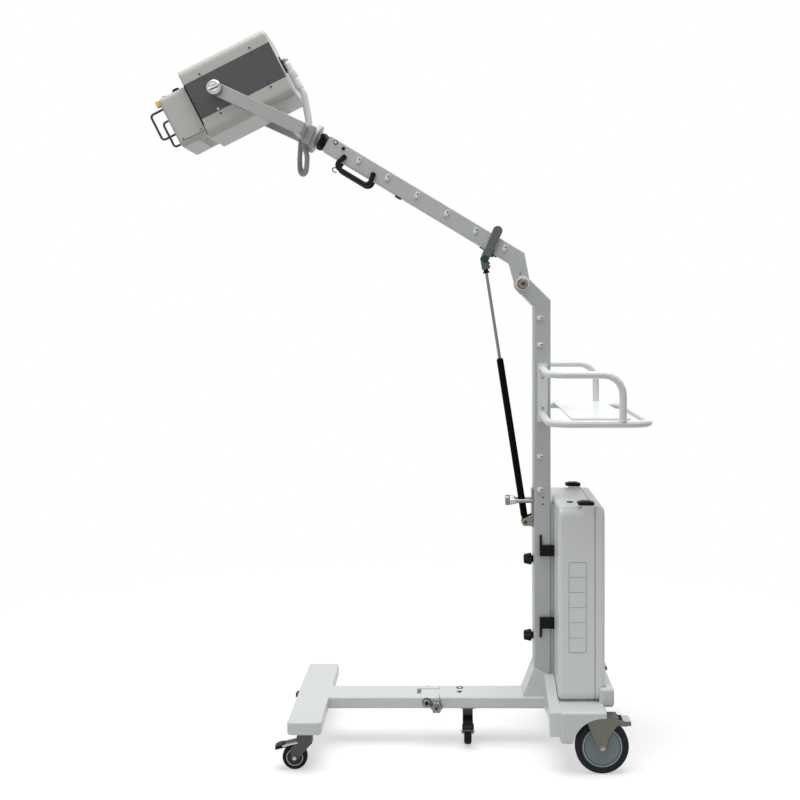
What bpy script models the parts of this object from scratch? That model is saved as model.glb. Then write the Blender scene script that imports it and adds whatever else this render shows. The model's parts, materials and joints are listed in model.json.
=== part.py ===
# Portable x-ray machine on a wheeled stand: T-shaped folding front leg, mast, lifting boom with a
# gas strut, swivelling yoke and a tilting tube head. Metres, +Z up, the boom points along -X, the
# operator's handrail is at +X. The stand is symmetric about the plane y = 0.
import math

import bmesh
import bpy
from mathutils import Matrix, Vector

for old in list(bpy.data.objects):
    bpy.data.objects.remove(old, do_unlink=True)

# Gaps
SEAT = 0.0003            # two pieces that touch
RUN = 0.005              # clearance round a moving piece
PIN_RUN = 0.0005         # radial clearance of a hinge bore on its bolt

# Where the machine stands: every x below is measured from the mast's centreline
MAST_X = 0.4607

# Mast
MAST_WIDTH = 0.052       # along x
MAST_DEPTH = 0.090       # along y
PIVOT_X = -0.0615        # boom pivot, ahead of the mast by its 45 degree neck
PIVOT_Z = 1.459
PIVOT_BOLT_R = 0.008
PIVOT_HEAD_R = 0.0135
PIVOT_HEAD_LENGTH = 0.009

# Boom
BOOM_DEPTH = 0.060       # along y
BOOM_HEIGHT = 0.054      # across its long run
KNEE_X = -0.0797
KNEE_Z = 1.541
BOOM_RUN = 0.7077        # knee to tip
BOOM_RISE = math.radians(31.1)

# Gas strut
STRUT_FOOT_X = -0.0518
STRUT_FOOT_Z = 0.699
EYE_STATION = 0.0879    # strut's eye: distance from the knee along the boom
EYE_DROP = 0.0272       # and below the boom's lower face
BARREL_R = 0.011
BARREL_BORE_R = 0.0055
BARREL_LENGTH = 0.500
ROD_R = 0.005
ROD_INSIDE = 0.060       # rod still inside the barrel at rest
BARREL_BORE_DEPTH = 0.230
EYE_R = 0.0125
EYE_WIDTH = 0.022
LEVER_LEAN = 33.0        # degrees from the strut's own line

# Yoke and swivel
YOKE_RISE = math.radians(24.8)
CLAMP_LENGTH = 0.030     # swivel's origin, just behind its flange, to the boom tip
YOKE_ARM_Y = 0.126       # inner face of an arm
YOKE_ARM_THICK = 0.010
YOKE_ARM_HEIGHT = 0.042
YOKE_BASE_REACH = 0.272  # tilt axis to the base block's inner face
YOKE_BASE_LENGTH = 0.024
HUB_LENGTH = 0.022       # thick plate behind the base block
HUB_HALF_HEIGHT = 0.031
HUB_HALF = 0.060
FLANGE_LENGTH = 0.013
FLANGE_BACK = 0.003      # flange's back face to the swivel's origin
LAP = 0.002              # how far joined shapes run into each other
FLANGE_R = 0.046
SWIVEL_NECK_R = 0.024
SWIVEL_REACH = YOKE_BASE_REACH + YOKE_BASE_LENGTH + HUB_LENGTH + FLANGE_LENGTH + FLANGE_BACK
TILT_KNOB_R = 0.0225
TILT_KNOB_LENGTH = 0.026
TILT_BUSH_R = 0.014

# Tube head, in its own frame: u runs from the front window to the back, v is up
HEAD_TILT = math.radians(27.0)
HEAD_HALF = 0.118        # half its width along y
HEAD_FRONT = -0.086
HEAD_BACK = 0.212
HEAD_LOW = -0.122
HEAD_TOP = 0.108
HEAD_CORNER = 0.026
STRIPE_LOW = -0.062
STRIPE_TOP = 0.058
STRIPE_THICK = 0.0020
COLLIMATOR_FRONT = -0.180
COLLIMATOR_LOW = -0.108
COLLIMATOR_TOP = 0.062
COLLIMATOR_HALF = 0.104
COLLIMATOR_NECK = 0.0035
COLLIMATOR_CORNER = 0.018
BAIL_REACH = 0.046
BAIL_R = 0.0038
BAIL_Y = 0.074           # a bail's plane, each side of the window
BAIL_TOP = 0.032         # its upper and lower runs
BAIL_LOW = -0.055
PLUG_STAND = 0.0142      # plug's upper end behind the head's back face
PLUG_TOP_V = 0.024
PLUG_LENGTH = 0.115
PLUG_LEAN = 0.034        # along u for each metre down

# Cords
CABLE_R = 0.0115
HOSE_R = 0.0105
CORD_GAP = 0.0013        # between a cord's end and what holds it
HOSE_GAP = 0.0008
HOSE_HALF = 0.022        # half the spacing of the hose's legs along y
HOSE_HANG = 0.1008       # how far the hose's bend hangs below its ends

# Wheels
CASTER_R = 0.0375
CASTER_WIDTH = 0.024
CASTER_TRAIL = 0.032
CASTER_PLATE_Z = 0.1169  # top face of a caster's mounting plate
REAR_R = 0.080
REAR_WIDTH = 0.034
REAR_X = 0.1595
AXLE_R = 0.005
FORK_HALF = 0.025        # half of a rear fork's width
FORK_ROOF = 0.1705       # its top, under the beam

# Base
SPINE_HALF = 0.054
SPINE_LOW = 0.1173
SPINE_TOP = 0.1548
T_BAR_X = -0.7255
T_BAR_WIDTH = 0.102
T_BAR_HALF = 0.268
T_BAR_LOW = 0.1172
T_BAR_TOP = 0.1556
FRONT_CASTER_Y = 0.219
MID_CASTER_X = -0.236
FOLD_X = -0.3656
FOLD_Z = 0.1380
FOLD_END_R = 0.0413
TONGUE_HALF = 0.021
TONGUE_END = 0.020       # tongue beyond the fold bolt
FOLD_BOLT_R = 0.006
BEAM_FRONT = 0.034
BEAM_BACK = 0.172
BEAM_HALF = 0.280
REAR_Y = BEAM_HALF - 0.0345
BEAM_TOP = 0.191
BEAM_LOW = 0.1215
SKIRT_LOW = 0.0946
ARCH_R = 0.0915
COLLAR_TOP = 0.225

# Generator case
CASE_FRONT = 0.037
CASE_SEAM = 0.146
CASE_BACK = 0.1765
CASE_HALF = 0.200
CASE_TOP = 0.778
CASE_CORNER = 0.028
CASE_SEAM_GAP = 0.0010
LATCH_Y = 0.176
LATCH_X = 0.1365

# Handrail and tray
RAIL_R = 0.011
RAIL_HALF = 0.300
RAIL_LOW_Z = 1.043
RAIL_HIGH_Z = 1.187
RAIL_BACK = 0.300
RAIL_POST_X = 0.215
RAIL_BEND = 0.058
TRAY_FRONT = 0.064
TRAY_BACK = 0.2385
TRAY_THICK = 0.004

COLOURS = {
    "white_paint": (0.78, 0.79, 0.77, 1.0, 0.42, 0.0),
    "grey_paint": (0.60, 0.61, 0.60, 1.0, 0.45, 0.0),
    "dark_panel": (0.075, 0.077, 0.085, 1.0, 0.5, 0.0),
    "black_plastic": (0.012, 0.012, 0.013, 1.0, 0.4, 0.0),
    "grey_lever": (0.12, 0.13, 0.14, 1.0, 0.45, 0.0),
    "steel": (0.50, 0.50, 0.49, 1.0, 0.35, 0.9),
    "tyre": (0.030, 0.032, 0.036, 1.0, 0.7, 0.0),
    "wheel_grey": (0.17, 0.20, 0.21, 1.0, 0.5, 0.0),
    "caster_steel": (0.10, 0.10, 0.095, 1.0, 0.45, 0.6),
    "hose_grey": (0.33, 0.33, 0.32, 1.0, 0.6, 0.0),
    "cable_white": (0.80, 0.80, 0.79, 1.0, 0.4, 0.0),
}


def material(name):
    """One Principled finish for each name in COLOURS."""
    found = bpy.data.materials.get(name)
    if found:
        return found
    red, green, blue, alpha, roughness, metallic = COLOURS[name]
    made = bpy.data.materials.new(name)
    made.use_nodes = True
    shader = made.node_tree.nodes["Principled BSDF"]
    shader.inputs["Base Color"].default_value = (red, green, blue, alpha)
    shader.inputs["Roughness"].default_value = roughness
    shader.inputs["Metallic"].default_value = metallic
    return made


# Shapes. Each returns a closed mesh object whose coordinates are in the frame of its caller.

def from_bmesh(bm, name="shape"):
    bmesh.ops.recalc_face_normals(bm, faces=bm.faces)
    mesh = bpy.data.meshes.new(name)
    bm.to_mesh(mesh)
    bm.free()
    made = bpy.data.objects.new(name, mesh)
    bpy.context.scene.collection.objects.link(made)
    return made


def prism(outline, low, high, axis="y"):
    """An outline extruded along one axis. Its points are (x, z) for y, (x, y) for z, (y, z) for x."""
    place = {
        "y": lambda a, b, c: (a, c, b),
        "z": lambda a, b, c: (a, b, c),
        "x": lambda a, b, c: (c, a, b),
    }[axis]
    bm = bmesh.new()
    face = bm.faces.new([bm.verts.new(place(a, b, low)) for a, b in outline])
    moved = bmesh.ops.extrude_face_region(bm, geom=[face])["geom"]
    step = Vector(place(0, 0, high - low))
    bmesh.ops.translate(bm, verts=[g for g in moved if isinstance(g, bmesh.types.BMVert)], vec=step)
    return from_bmesh(bm)


def box(low, high):
    (x0, y0, z0), (x1, y1, z1) = low, high
    return prism([(x0, z0), (x1, z0), (x1, z1), (x0, z1)], y0, y1)


def turned(profile, centre, axis, sides=24):
    """A solid of revolution: profile rows are (radius, distance along the axis)."""
    bm = bmesh.new()
    rings = []
    for radius, along in profile:
        ring = []
        for i in range(sides):
            angle = 2 * math.pi * i / sides
            ring.append(bm.verts.new((radius * math.cos(angle), radius * math.sin(angle), along)))
        rings.append(ring)
    for lower, upper in zip(rings, rings[1:]):
        for i in range(sides):
            j = (i + 1) % sides
            bm.faces.new([lower[i], lower[j], upper[j], upper[i]])
    bm.faces.new(rings[0][::-1])
    bm.faces.new(rings[-1])
    turn = Vector(axis).to_track_quat("Z", "Y").to_matrix().to_4x4()
    bmesh.ops.transform(bm, matrix=Matrix.Translation(centre) @ turn, verts=bm.verts)
    return from_bmesh(bm)


def rod(start, end, radius, sides=16):
    """A round bar between two points."""
    run = Vector(end) - Vector(start)
    return turned([(radius, 0), (radius, run.length)], start, run, sides)


def bend_path(corners, radius, steps=5):
    """The corners joined by straight runs and arcs of one radius."""
    points = [Vector(corners[0])]
    for before, corner, after in zip(corners, corners[1:], corners[2:]):
        corner = Vector(corner)
        back = (Vector(before) - corner).normalized()
        ahead = (Vector(after) - corner).normalized()
        half = back.angle(ahead) / 2
        centre = corner + (back + ahead).normalized() * (radius / math.sin(half))
        start = corner + back * (radius / math.tan(half)) - centre
        end = corner + ahead * (radius / math.tan(half)) - centre
        sweep = start.angle(end)
        for i in range(steps + 1):
            share = i / steps
            spot = start * math.sin((1 - share) * sweep) + end * math.sin(share * sweep)
            points.append(centre + spot / math.sin(sweep))
    points.append(Vector(corners[-1]))
    return points


def tube(points, radius, sides=12):
    """A round bar swept along a path, with flat ends."""
    points = [Vector(p) for p in points]
    bm = bmesh.new()
    rings = []
    turn = None
    for i, point in enumerate(points):
        ahead = points[min(i + 1, len(points) - 1)] - point
        behind = point - points[max(i - 1, 0)]
        along = (ahead.normalized() + behind.normalized()).normalized()
        if turn is None:
            side = along.orthogonal().normalized()
        else:
            side = (turn - along * turn.dot(along)).normalized()
        turn = side
        other = along.cross(side)
        ring = []
        for k in range(sides):
            angle = 2 * math.pi * k / sides
            spot = point + side * (radius * math.cos(angle)) + other * (radius * math.sin(angle))
            ring.append(bm.verts.new(spot))
        rings.append(ring)
    for lower, upper in zip(rings, rings[1:]):
        for k in range(sides):
            j = (k + 1) % sides
            bm.faces.new([lower[k], lower[j], upper[j], upper[k]])
    bm.faces.new(rings[0][::-1])
    bm.faces.new(rings[-1])
    return from_bmesh(bm)


def band(points, widths, round_end=False, steps=8):
    """The outline of a flat bar that follows a line in the x, z plane, mitred at its bends."""
    spots = [Vector(p) for p in points]
    left, right = [], []
    for i, spot in enumerate(spots):
        ways = []
        if i > 0:
            ways.append((spot - spots[i - 1]).normalized())
        if i < len(spots) - 1:
            ways.append((spots[i + 1] - spot).normalized())
        along = sum(ways, Vector((0, 0))).normalized()
        side = Vector((-along.y, along.x))
        reach = widths[i] / 2 / side.dot(Vector((-ways[0].y, ways[0].x)))
        left.append(spot + side * reach)
        right.append(spot - side * reach)
    cap = []
    if round_end:
        along = (spots[-1] - spots[-2]).normalized()
        start = math.atan2(-along.x, along.y)
        for k in range(1, steps):
            angle = start + math.pi * k / steps
            cap.append(spots[-1] + Vector((math.cos(angle), math.sin(angle))) * widths[-1] / 2)
    return [tuple(p) for p in right + cap + left[::-1]]


def combine(target, others, operation):
    """Adds or cuts other shapes, which are used up."""
    for other in others:
        step = target.modifiers.new("join", "BOOLEAN")
        step.operation = operation
        step.solver = "EXACT"
        step.object = other
        settle(target)
        bpy.data.objects.remove(other, do_unlink=True)
    return target


def settle(target):
    """Applies the modifiers of an object to its mesh."""
    graph = bpy.context.evaluated_depsgraph_get()
    graph.update()
    mesh = bpy.data.meshes.new_from_object(target.evaluated_get(graph))
    target.modifiers.clear()
    target.data = mesh
    return target


def join(target, *others):
    return combine(target, others, "UNION")


def cut(target, *others):
    return combine(target, others, "DIFFERENCE")


def soften(target, width, segments=2, angle=35):
    """Rounds every edge sharper than an angle."""
    step = target.modifiers.new("edges", "BEVEL")
    step.width = width
    step.segments = segments
    step.limit_method = "ANGLE"
    step.angle_limit = math.radians(angle)
    step.use_clamp_overlap = True
    return settle(target)


def rounded(low, high, corner, steps=4):
    """A rectangle's outline with four round corners."""
    (a0, b0), (a1, b1) = low, high
    places = ((a1, b0, -90), (a1, b1, 0), (a0, b1, 90), (a0, b0, 180))
    points = []
    for a, b, start in places:
        centre_a = a - math.copysign(corner, a - (a0 + a1) / 2)
        centre_b = b - math.copysign(corner, b - (b0 + b1) / 2)
        for i in range(steps + 1):
            angle = math.radians(start + 90 * i / steps)
            points.append((centre_a + corner * math.cos(angle), centre_b + corner * math.sin(angle)))
    return points


def frame(name, x, y, z, turn=0.0):
    """An empty on a joint's axis. Its turn is about +Y."""
    made = bpy.data.objects.new(name, None)
    made.location = (MAST_X + x, y, z)
    made.rotation_euler = (0, turn, 0)
    bpy.context.scene.collection.objects.link(made)
    return made


def piece(shape, name, finish, parent, smooth=35):
    """Names a shape, gives it its finish and hangs it on its frame."""
    shape.name = name
    shape.data.name = name
    shape.data.materials.clear()
    shape.data.materials.append(material(finish))
    shape.data.shade_smooth()
    shape.data.set_sharp_from_angle(angle=math.radians(smooth))
    shape.parent = parent
    return shape


def mirrored(shape):
    """A copy on the other side of the plane y = 0."""
    bm = bmesh.new()
    bm.from_mesh(shape.data)
    bmesh.ops.scale(bm, vec=(1, -1, 1), verts=bm.verts)
    bmesh.ops.reverse_faces(bm, faces=bm.faces)
    return from_bmesh(bm)


def pair(shape, name, finish, parent, sides=("near", "far")):
    """A piece at -y and its mirror copy at +y."""
    other = mirrored(shape)
    piece(shape, f"{name}_{sides[0]}", finish, parent)
    piece(other, f"{name}_{sides[1]}", finish, parent)


# Base: beam over the rear wheels, half the spine, the mast's collar and the case's rim

def rear_chassis(base):
    spine = prism(
        rounded((-SPINE_HALF, SPINE_LOW), (SPINE_HALF, SPINE_TOP), 0.006, 3), FOLD_X + 0.02, BEAM_FRONT + 0.02, "x"
    )
    cut(spine, rod((FOLD_X, -0.1, FOLD_Z), (FOLD_X, 0.1, FOLD_Z), FOLD_END_R + 0.002, 40))
    tongue = soften(box(
        (FOLD_X - TONGUE_END, -TONGUE_HALF, SPINE_LOW + 0.001), (FOLD_X + 0.08, TONGUE_HALF, SPINE_TOP - 0.0006)
    ), 0.003)
    between = REAR_Y - REAR_WIDTH / 2 - 0.022
    beam = soften(prism(
        [(-BEAM_HALF, SKIRT_LOW), (-between, SKIRT_LOW), (-between, BEAM_LOW), (between, BEAM_LOW),
         (between, SKIRT_LOW), (BEAM_HALF, SKIRT_LOW), (BEAM_HALF, BEAM_TOP), (-BEAM_HALF, BEAM_TOP)],
        BEAM_FRONT, BEAM_BACK, "x",
    ), 0.009, 3)
    for side in (-1, 1):
        cut(beam, rod((REAR_X, side * (between + 0.0007), REAR_R), (REAR_X, side * 0.4, REAR_R), ARCH_R, 48))
        y0, y1 = sorted((side * (REAR_Y - FORK_HALF - 0.001), side * (REAR_Y + FORK_HALF + 0.001)))
        cut(beam, box((REAR_X - 0.052, y0, 0), (REAR_X + 0.1, y1, FORK_ROOF + SEAT)))
    collar = soften(prism(
        [
            (-BEAM_HALF + 0.014, SKIRT_LOW + 0.016), (-0.200, 0.142), (-SPINE_HALF - 0.006, SPINE_LOW + 0.002),
            (SPINE_HALF + 0.006, SPINE_LOW + 0.002), (0.200, 0.142), (BEAM_HALF - 0.014, SKIRT_LOW + 0.016),
            (BEAM_HALF - 0.020, BEAM_TOP - 0.008), (0.062, COLLAR_TOP), (-0.062, COLLAR_TOP),
            (-BEAM_HALF + 0.020, BEAM_TOP - 0.008),
        ],
        0.004, BEAM_FRONT + 0.030, "x",
    ), 0.004, 2)
    cut(collar, box((CASE_FRONT - 0.002, -1, BEAM_TOP - 0.002), (1, 1, 1)))
    foot = prism(
        [(-0.066, SPINE_TOP - 0.01), (0.02, SPINE_TOP - 0.01), (0.02, COLLAR_TOP - 0.001),
         (-MAST_WIDTH / 2 - SEAT, COLLAR_TOP + 0.022)],
        -SPINE_HALF + 0.004, SPINE_HALF - 0.004,
    )
    rim = soften(box(
        (0.158, -CASE_HALF - 0.014, BEAM_TOP - 0.012), (0.203, CASE_HALF + 0.014, BEAM_TOP + 0.046)
    ), 0.010, 3)
    cut(rim, box((0, -CASE_HALF - 0.001, BEAM_TOP - 0.001), (CASE_BACK + 0.0015, CASE_HALF + 0.001, 1)))
    chassis = join(beam, collar, spine, tongue, foot, rim)
    cut(
        chassis,
        box((-MAST_WIDTH / 2 - SEAT, -MAST_DEPTH / 2 - SEAT, SPINE_TOP + SEAT),
            (MAST_WIDTH / 2 + SEAT, MAST_DEPTH / 2 + SEAT, COLLAR_TOP + 0.1)),
        rod((FOLD_X, -0.1, FOLD_Z), (FOLD_X, 0.1, FOLD_Z), FOLD_BOLT_R + PIN_RUN, 16),
    )
    piece(chassis, "rear_chassis", "white_paint", base)


def mast(base):
    low = SPINE_TOP + 2 * SEAT
    bend_z = PIVOT_Z + PIVOT_X
    outline = band(
        [(0, low), (0, bend_z), (PIVOT_X, PIVOT_Z)],
        [MAST_WIDTH, MAST_WIDTH, MAST_WIDTH - 0.001], round_end=True,
    )
    post = soften(prism(outline, -MAST_DEPTH / 2, MAST_DEPTH / 2), 0.004, 2, 50)
    slot_half = BOOM_DEPTH / 2 + 0.003
    eye = (PIVOT_X, -slot_half, PIVOT_Z), (PIVOT_X, slot_half, PIVOT_Z)
    cut(post, rod(*eye, BOOM_HEIGHT / 2 + RUN, 40))
    cut(post, rod((PIVOT_X, -0.1, PIVOT_Z), (PIVOT_X, 0.1, PIVOT_Z), PIVOT_BOLT_R + SEAT, 20))
    piece(post, "mast", "white_paint", base)


def pivot_bolt(base):
    out = MAST_DEPTH / 2 + SEAT
    end = out + PIVOT_HEAD_LENGTH
    shape = turned(
        [(PIVOT_HEAD_R - 0.002, -end), (PIVOT_HEAD_R, -end + 0.002), (PIVOT_HEAD_R, -out), (PIVOT_BOLT_R, -out),
         (PIVOT_BOLT_R, out), (PIVOT_HEAD_R, out), (PIVOT_HEAD_R, end - 0.002), (PIVOT_HEAD_R - 0.002, end)],
        (PIVOT_X, 0, PIVOT_Z), (0, 1, 0), 20,
    )
    piece(shape, "pivot_bolt", "steel", base)


def case(base):
    """The generator's upright case: a deep shell and a shallow lid that meet at a seam."""
    low = BEAM_TOP + SEAT
    outline = rounded((-CASE_HALF, low), (CASE_HALF, CASE_TOP), CASE_CORNER, 5)
    shell = prism(outline, CASE_FRONT, CASE_SEAM - CASE_SEAM_GAP / 2, "x")
    lid = prism(outline, CASE_SEAM + CASE_SEAM_GAP / 2, CASE_BACK, "x")
    for shape, edge in ((shell, CASE_FRONT), (lid, CASE_BACK)):
        bm = bmesh.new()
        bm.from_mesh(shape.data)
        rim = [e for e in bm.edges if all(abs(v.co.x - edge) < 1e-6 for v in e.verts)]
        bmesh.ops.bevel(bm, geom=rim, offset=0.010, segments=3, profile=0.5, affect="EDGES")
        bm.to_mesh(shape.data)
        bm.free()
    for side in (-1, 1):
        block_low = (LATCH_X - 0.030, side * LATCH_Y - 0.024, CASE_TOP - CASE_CORNER)
        block_high = (CASE_SEAM - CASE_SEAM_GAP / 2, side * LATCH_Y + 0.020, CASE_TOP + 0.006)
        block = soften(box(block_low, block_high), 0.004, 2)
        join(shell, block)
    piece(shell, "case_shell", "white_paint", base)
    piece(lid, "case_lid", "white_paint", base)
    for side, name in ((-1, "near"), (1, "far")):
        outline = [(-0.024, 0), (0.024, 0), (0.026, 0.008), (0.012, 0.012), (-0.012, 0.012), (-0.026, 0.008)]
        latch = prism([(LATCH_X + a - 0.016, CASE_TOP + 0.006 + SEAT + b) for a, b in outline],
                      side * LATCH_Y - 0.014, side * LATCH_Y + 0.014)
        piece(soften(latch, 0.0015, 2), f"case_latch_{name}", "black_plastic", base)


def case_brackets(base):
    """Black clips on the mast's flanks that hold the case against it: (name, block z, tail z)."""
    rows = (("upper", (0.600, 0.633), (0.620, 0.664)), ("lower", (0.371, 0.405), (0.342, 0.390)))
    flank = MAST_DEPTH / 2 + SEAT
    for name, block_z, tail_z in rows:
        block = box((-0.009, -flank - 0.012, block_z[0]), (CASE_FRONT - SEAT, -flank, block_z[1]))
        tail = box((-0.009, -flank - 0.006, tail_z[0]), (-0.002, -flank, tail_z[1]))
        pair(join(block, tail), f"case_bracket_{name}", "black_plastic", base)


def mast_knobs(base):
    for name, z in (("upper", 0.579), ("lower", 0.335)):
        face = -MAST_WIDTH / 2 - SEAT
        knob = turned(
            [(0.019, 0), (0.019, 0.006), (0.0165, 0.018), (0.014, 0.029), (0.010, 0.031)],
            (face, 0, z), (-1, 0, 0), 20,
        )
        piece(knob, f"mast_knob_{name}", "black_plastic", base)


def handrail(base):
    """One welded tube frame: a low loop, two high rails that bend down to it, and two flank plates."""
    flank = MAST_DEPTH / 2 + SEAT
    loop = tube(
        bend_path(
            [(0, -flank - 0.003, RAIL_LOW_Z), (0, -RAIL_HALF, RAIL_LOW_Z), (RAIL_BACK, -RAIL_HALF, RAIL_LOW_Z),
             (RAIL_BACK, RAIL_HALF, RAIL_LOW_Z), (0, RAIL_HALF, RAIL_LOW_Z), (0, flank + 0.003, RAIL_LOW_Z)],
            RAIL_BEND,
        ),
        RAIL_R,
    )
    parts = []
    for side in (-1, 1):
        parts.append(tube(
            bend_path(
                [(0, side * (flank + 0.003), RAIL_HIGH_Z), (0, side * RAIL_HALF, RAIL_HIGH_Z),
                 (RAIL_POST_X, side * RAIL_HALF, RAIL_HIGH_Z), (RAIL_POST_X, side * RAIL_HALF, RAIL_LOW_Z)],
                RAIL_BEND,
            ),
            RAIL_R,
        ))
        plate = box((-0.016, min(side * flank, side * (flank + 0.006)), RAIL_LOW_Z - 0.020),
                    (0.016, max(side * flank, side * (flank + 0.006)), RAIL_HIGH_Z + 0.020))
        parts.append(plate)
    piece(join(loop, *parts), "handrail", "white_paint", base)
    tray_z = RAIL_LOW_Z + RAIL_R + SEAT
    tray = prism(rounded((TRAY_FRONT, -RAIL_HALF + 0.004), (TRAY_BACK, RAIL_HALF - 0.004), 0.006, 2),
                 tray_z, tray_z + TRAY_THICK, "z")
    for side in (-1, 1):
        cut(tray, rod((RAIL_POST_X, side * RAIL_HALF, 1), (RAIL_POST_X, side * RAIL_HALF, 1.2), RAIL_R + 0.001, 24))
    piece(tray, "tray_plate", "white_paint", base)


def strut_bracket(base):
    """The steel foot on the mast's front face, with the guide that the barrel leans through."""
    face = -MAST_WIDTH / 2 - SEAT
    shape = box((face - 0.006, -0.022, STRUT_FOOT_Z - 0.014), (face, 0.022, STRUT_FOOT_Z + 0.104))
    ears = []
    for side in (-1, 1):
        inner, outer = side * 0.0145, side * 0.0185
        ears.append(prism(
            [(face - 0.003, STRUT_FOOT_Z - 0.012), (STRUT_FOOT_X - 0.006, STRUT_FOOT_Z - 0.012),
             (STRUT_FOOT_X - 0.012, STRUT_FOOT_Z - 0.004), (STRUT_FOOT_X - 0.010, STRUT_FOOT_Z + 0.010),
             (face - 0.003, STRUT_FOOT_Z + 0.024)],
            min(inner, outer), max(inner, outer),
        ))
        ears.append(rod((face - 0.003, side * 0.0195, STRUT_FOOT_Z + 0.068),
                        (face - 0.080, side * 0.0195, STRUT_FOOT_Z + 0.068), 0.0065, 12))
    ears.append(box((face - 0.088, -0.027, STRUT_FOOT_Z + 0.058), (face - 0.076, 0.027, STRUT_FOOT_Z + 0.078)))
    pin = (STRUT_FOOT_X, -0.021, STRUT_FOOT_Z), (STRUT_FOOT_X, 0.021, STRUT_FOOT_Z)
    ears.append(rod(*pin, 0.004, 12))
    piece(join(shape, *ears), "strut_bracket", "steel", base)


def rear_wheel_forks(base):
    """Pressed steel forks under the beam's ends, each with its brake pedal."""
    outer = FORK_HALF
    inner = outer - 0.003
    roof = FORK_ROOF
    crown_low = REAR_R + REAR_R + RUN
    cheek = [(REAR_X - 0.050, roof - 0.001), (REAR_X - 0.047, roof - 0.012), (REAR_X - 0.010, REAR_R - 0.011),
             (REAR_X + 0.010, REAR_R - 0.011), (REAR_X + 0.016, REAR_R + 0.03), (REAR_X + 0.046, roof - 0.020),
             (REAR_X + 0.046, roof - 0.001)]
    shape = box((REAR_X - 0.050, -REAR_Y - outer, crown_low), (REAR_X + 0.046, -REAR_Y + outer, roof))
    sides = [
        prism(cheek, -REAR_Y - outer, -REAR_Y - inner),
        prism(cheek, -REAR_Y + inner, -REAR_Y + outer),
        rod((REAR_X, -REAR_Y - outer - 0.004, REAR_R), (REAR_X, -REAR_Y + outer + 0.004, REAR_R), AXLE_R, 16),
    ]
    for y in (-REAR_Y - outer, -REAR_Y + outer - 0.003):
        sides.append(prism(
            [(REAR_X + 0.030, roof - 0.004), (REAR_X + 0.030, roof - 0.022), (REAR_X + 0.070, roof - 0.026),
             (REAR_X + 0.082, roof - 0.018), (REAR_X + 0.062, roof - 0.010)],
            y, y + 0.003,
        ))
    sides.append(box((REAR_X + 0.060, -REAR_Y - outer, roof - 0.024), (REAR_X + 0.084, -REAR_Y + outer, roof - 0.014)))
    pair(join(shape, *sides), "rear_fork", "caster_steel", base)


# Wheels: a hub on its axle and a tyre on the hub

def wheel(name, parent, radius, width, rim, hub_r, axle_r, tyre_finish, hub_finish, sides):
    half = width / 2
    hub_bore = axle_r + PIN_RUN
    hub = turned(
        [(hub_bore + 0.004, -half - 0.001), (hub_r, -half + 0.001), (rim, -half + 0.003),
         (rim, half - 0.003), (hub_r, half - 0.001), (hub_bore + 0.004, half + 0.001)],
        (0, 0, 0), (0, 1, 0), sides,
    )
    cut(hub, rod((0, -width, 0), (0, width, 0), hub_bore, 16))
    tyre = turned(
        [(rim + SEAT + 0.002, -half + 0.001), (radius - 0.006, -half), (radius - 0.0015, -half * 0.6),
         (radius, -half * 0.25), (radius, half * 0.25), (radius - 0.0015, half * 0.6), (radius - 0.006, half),
         (rim + SEAT + 0.002, half - 0.001)],
        (0, 0, 0), (0, 1, 0), sides,
    )
    cut(tyre, rod((0, -width, 0), (0, width, 0), rim + SEAT, sides))
    piece(hub, f"{name}_hub", hub_finish, parent)
    piece(tyre, f"{name}_tyre", tyre_finish, parent)


def caster(name, x, y, heading, body):
    """A swivel caster. Its wheel trails behind the swivel along its heading; y is across the stand."""
    swivel = bpy.data.objects.new(f"{name}_swivel", None)
    swivel.location = (MAST_X + x, y, CASTER_PLATE_Z)
    swivel.rotation_euler = (0, 0, heading)
    bpy.context.scene.collection.objects.link(swivel)
    plate = prism(rounded((-0.030, -0.024), (0.030, 0.024), 0.006, 2), -0.0030, 0, "z")
    race = turned([(0.018, -0.0090), (0.020, -0.0070), (0.020, -0.002)], (0, 0, 0), (0, 0, 1), 24)
    mount = join(plate, race)
    for v in mount.data.vertices:
        v.co = Matrix.Rotation(heading, 3, "Z").inverted() @ v.co
    piece(mount, f"{name}_plate", "caster_steel", swivel)
    inner = CASTER_WIDTH / 2 + 0.002
    outer = inner + 0.002
    drop = CASTER_R - CASTER_PLATE_Z
    top = -0.0090 - SEAT
    under = drop + CASTER_R + 0.004
    crown = box((-0.020, -outer, under), (0.020, outer, top))
    cheek = [(0.020, top), (0.018, under), (-CASTER_TRAIL + 0.009, drop - 0.004), (-CASTER_TRAIL, drop - 0.009),
             (-CASTER_TRAIL - 0.009, drop - 0.004), (-CASTER_TRAIL - 0.012, drop + 0.030), (-0.030, under - 0.002),
             (-0.024, top)]
    parts = [
        prism(cheek, -outer, -inner),
        prism(cheek, inner, outer),
        rod((-CASTER_TRAIL, -outer - 0.003, drop), (-CASTER_TRAIL, outer + 0.003, drop), 0.004, 12),
    ]
    pedal_front = -CASTER_TRAIL - 0.056
    pedal = prism(
        [(-0.018, under + 0.002), (-0.018, under + 0.007), (-CASTER_TRAIL - 0.030, under - 0.004),
         (pedal_front, under - 0.012), (pedal_front - 0.004, under - 0.018), (-CASTER_TRAIL - 0.020, under - 0.009)],
        -outer, outer,
    )
    cut(pedal, rod((-CASTER_TRAIL, -1, drop), (-CASTER_TRAIL, 1, drop), CASTER_R + 0.003, 32))
    parts.append(pedal)
    piece(join(crown, *parts), f"{name}_fork", "caster_steel", swivel)
    axle = bpy.data.objects.new(f"{name}_axle", None)
    axle.parent = swivel
    axle.location = (-CASTER_TRAIL, 0, drop)
    bpy.context.scene.collection.objects.link(axle)
    wheel(name, axle, CASTER_R, CASTER_WIDTH, 0.0255, 0.020, 0.004, "tyre", "wheel_grey", 32)


# Folding front leg

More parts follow.
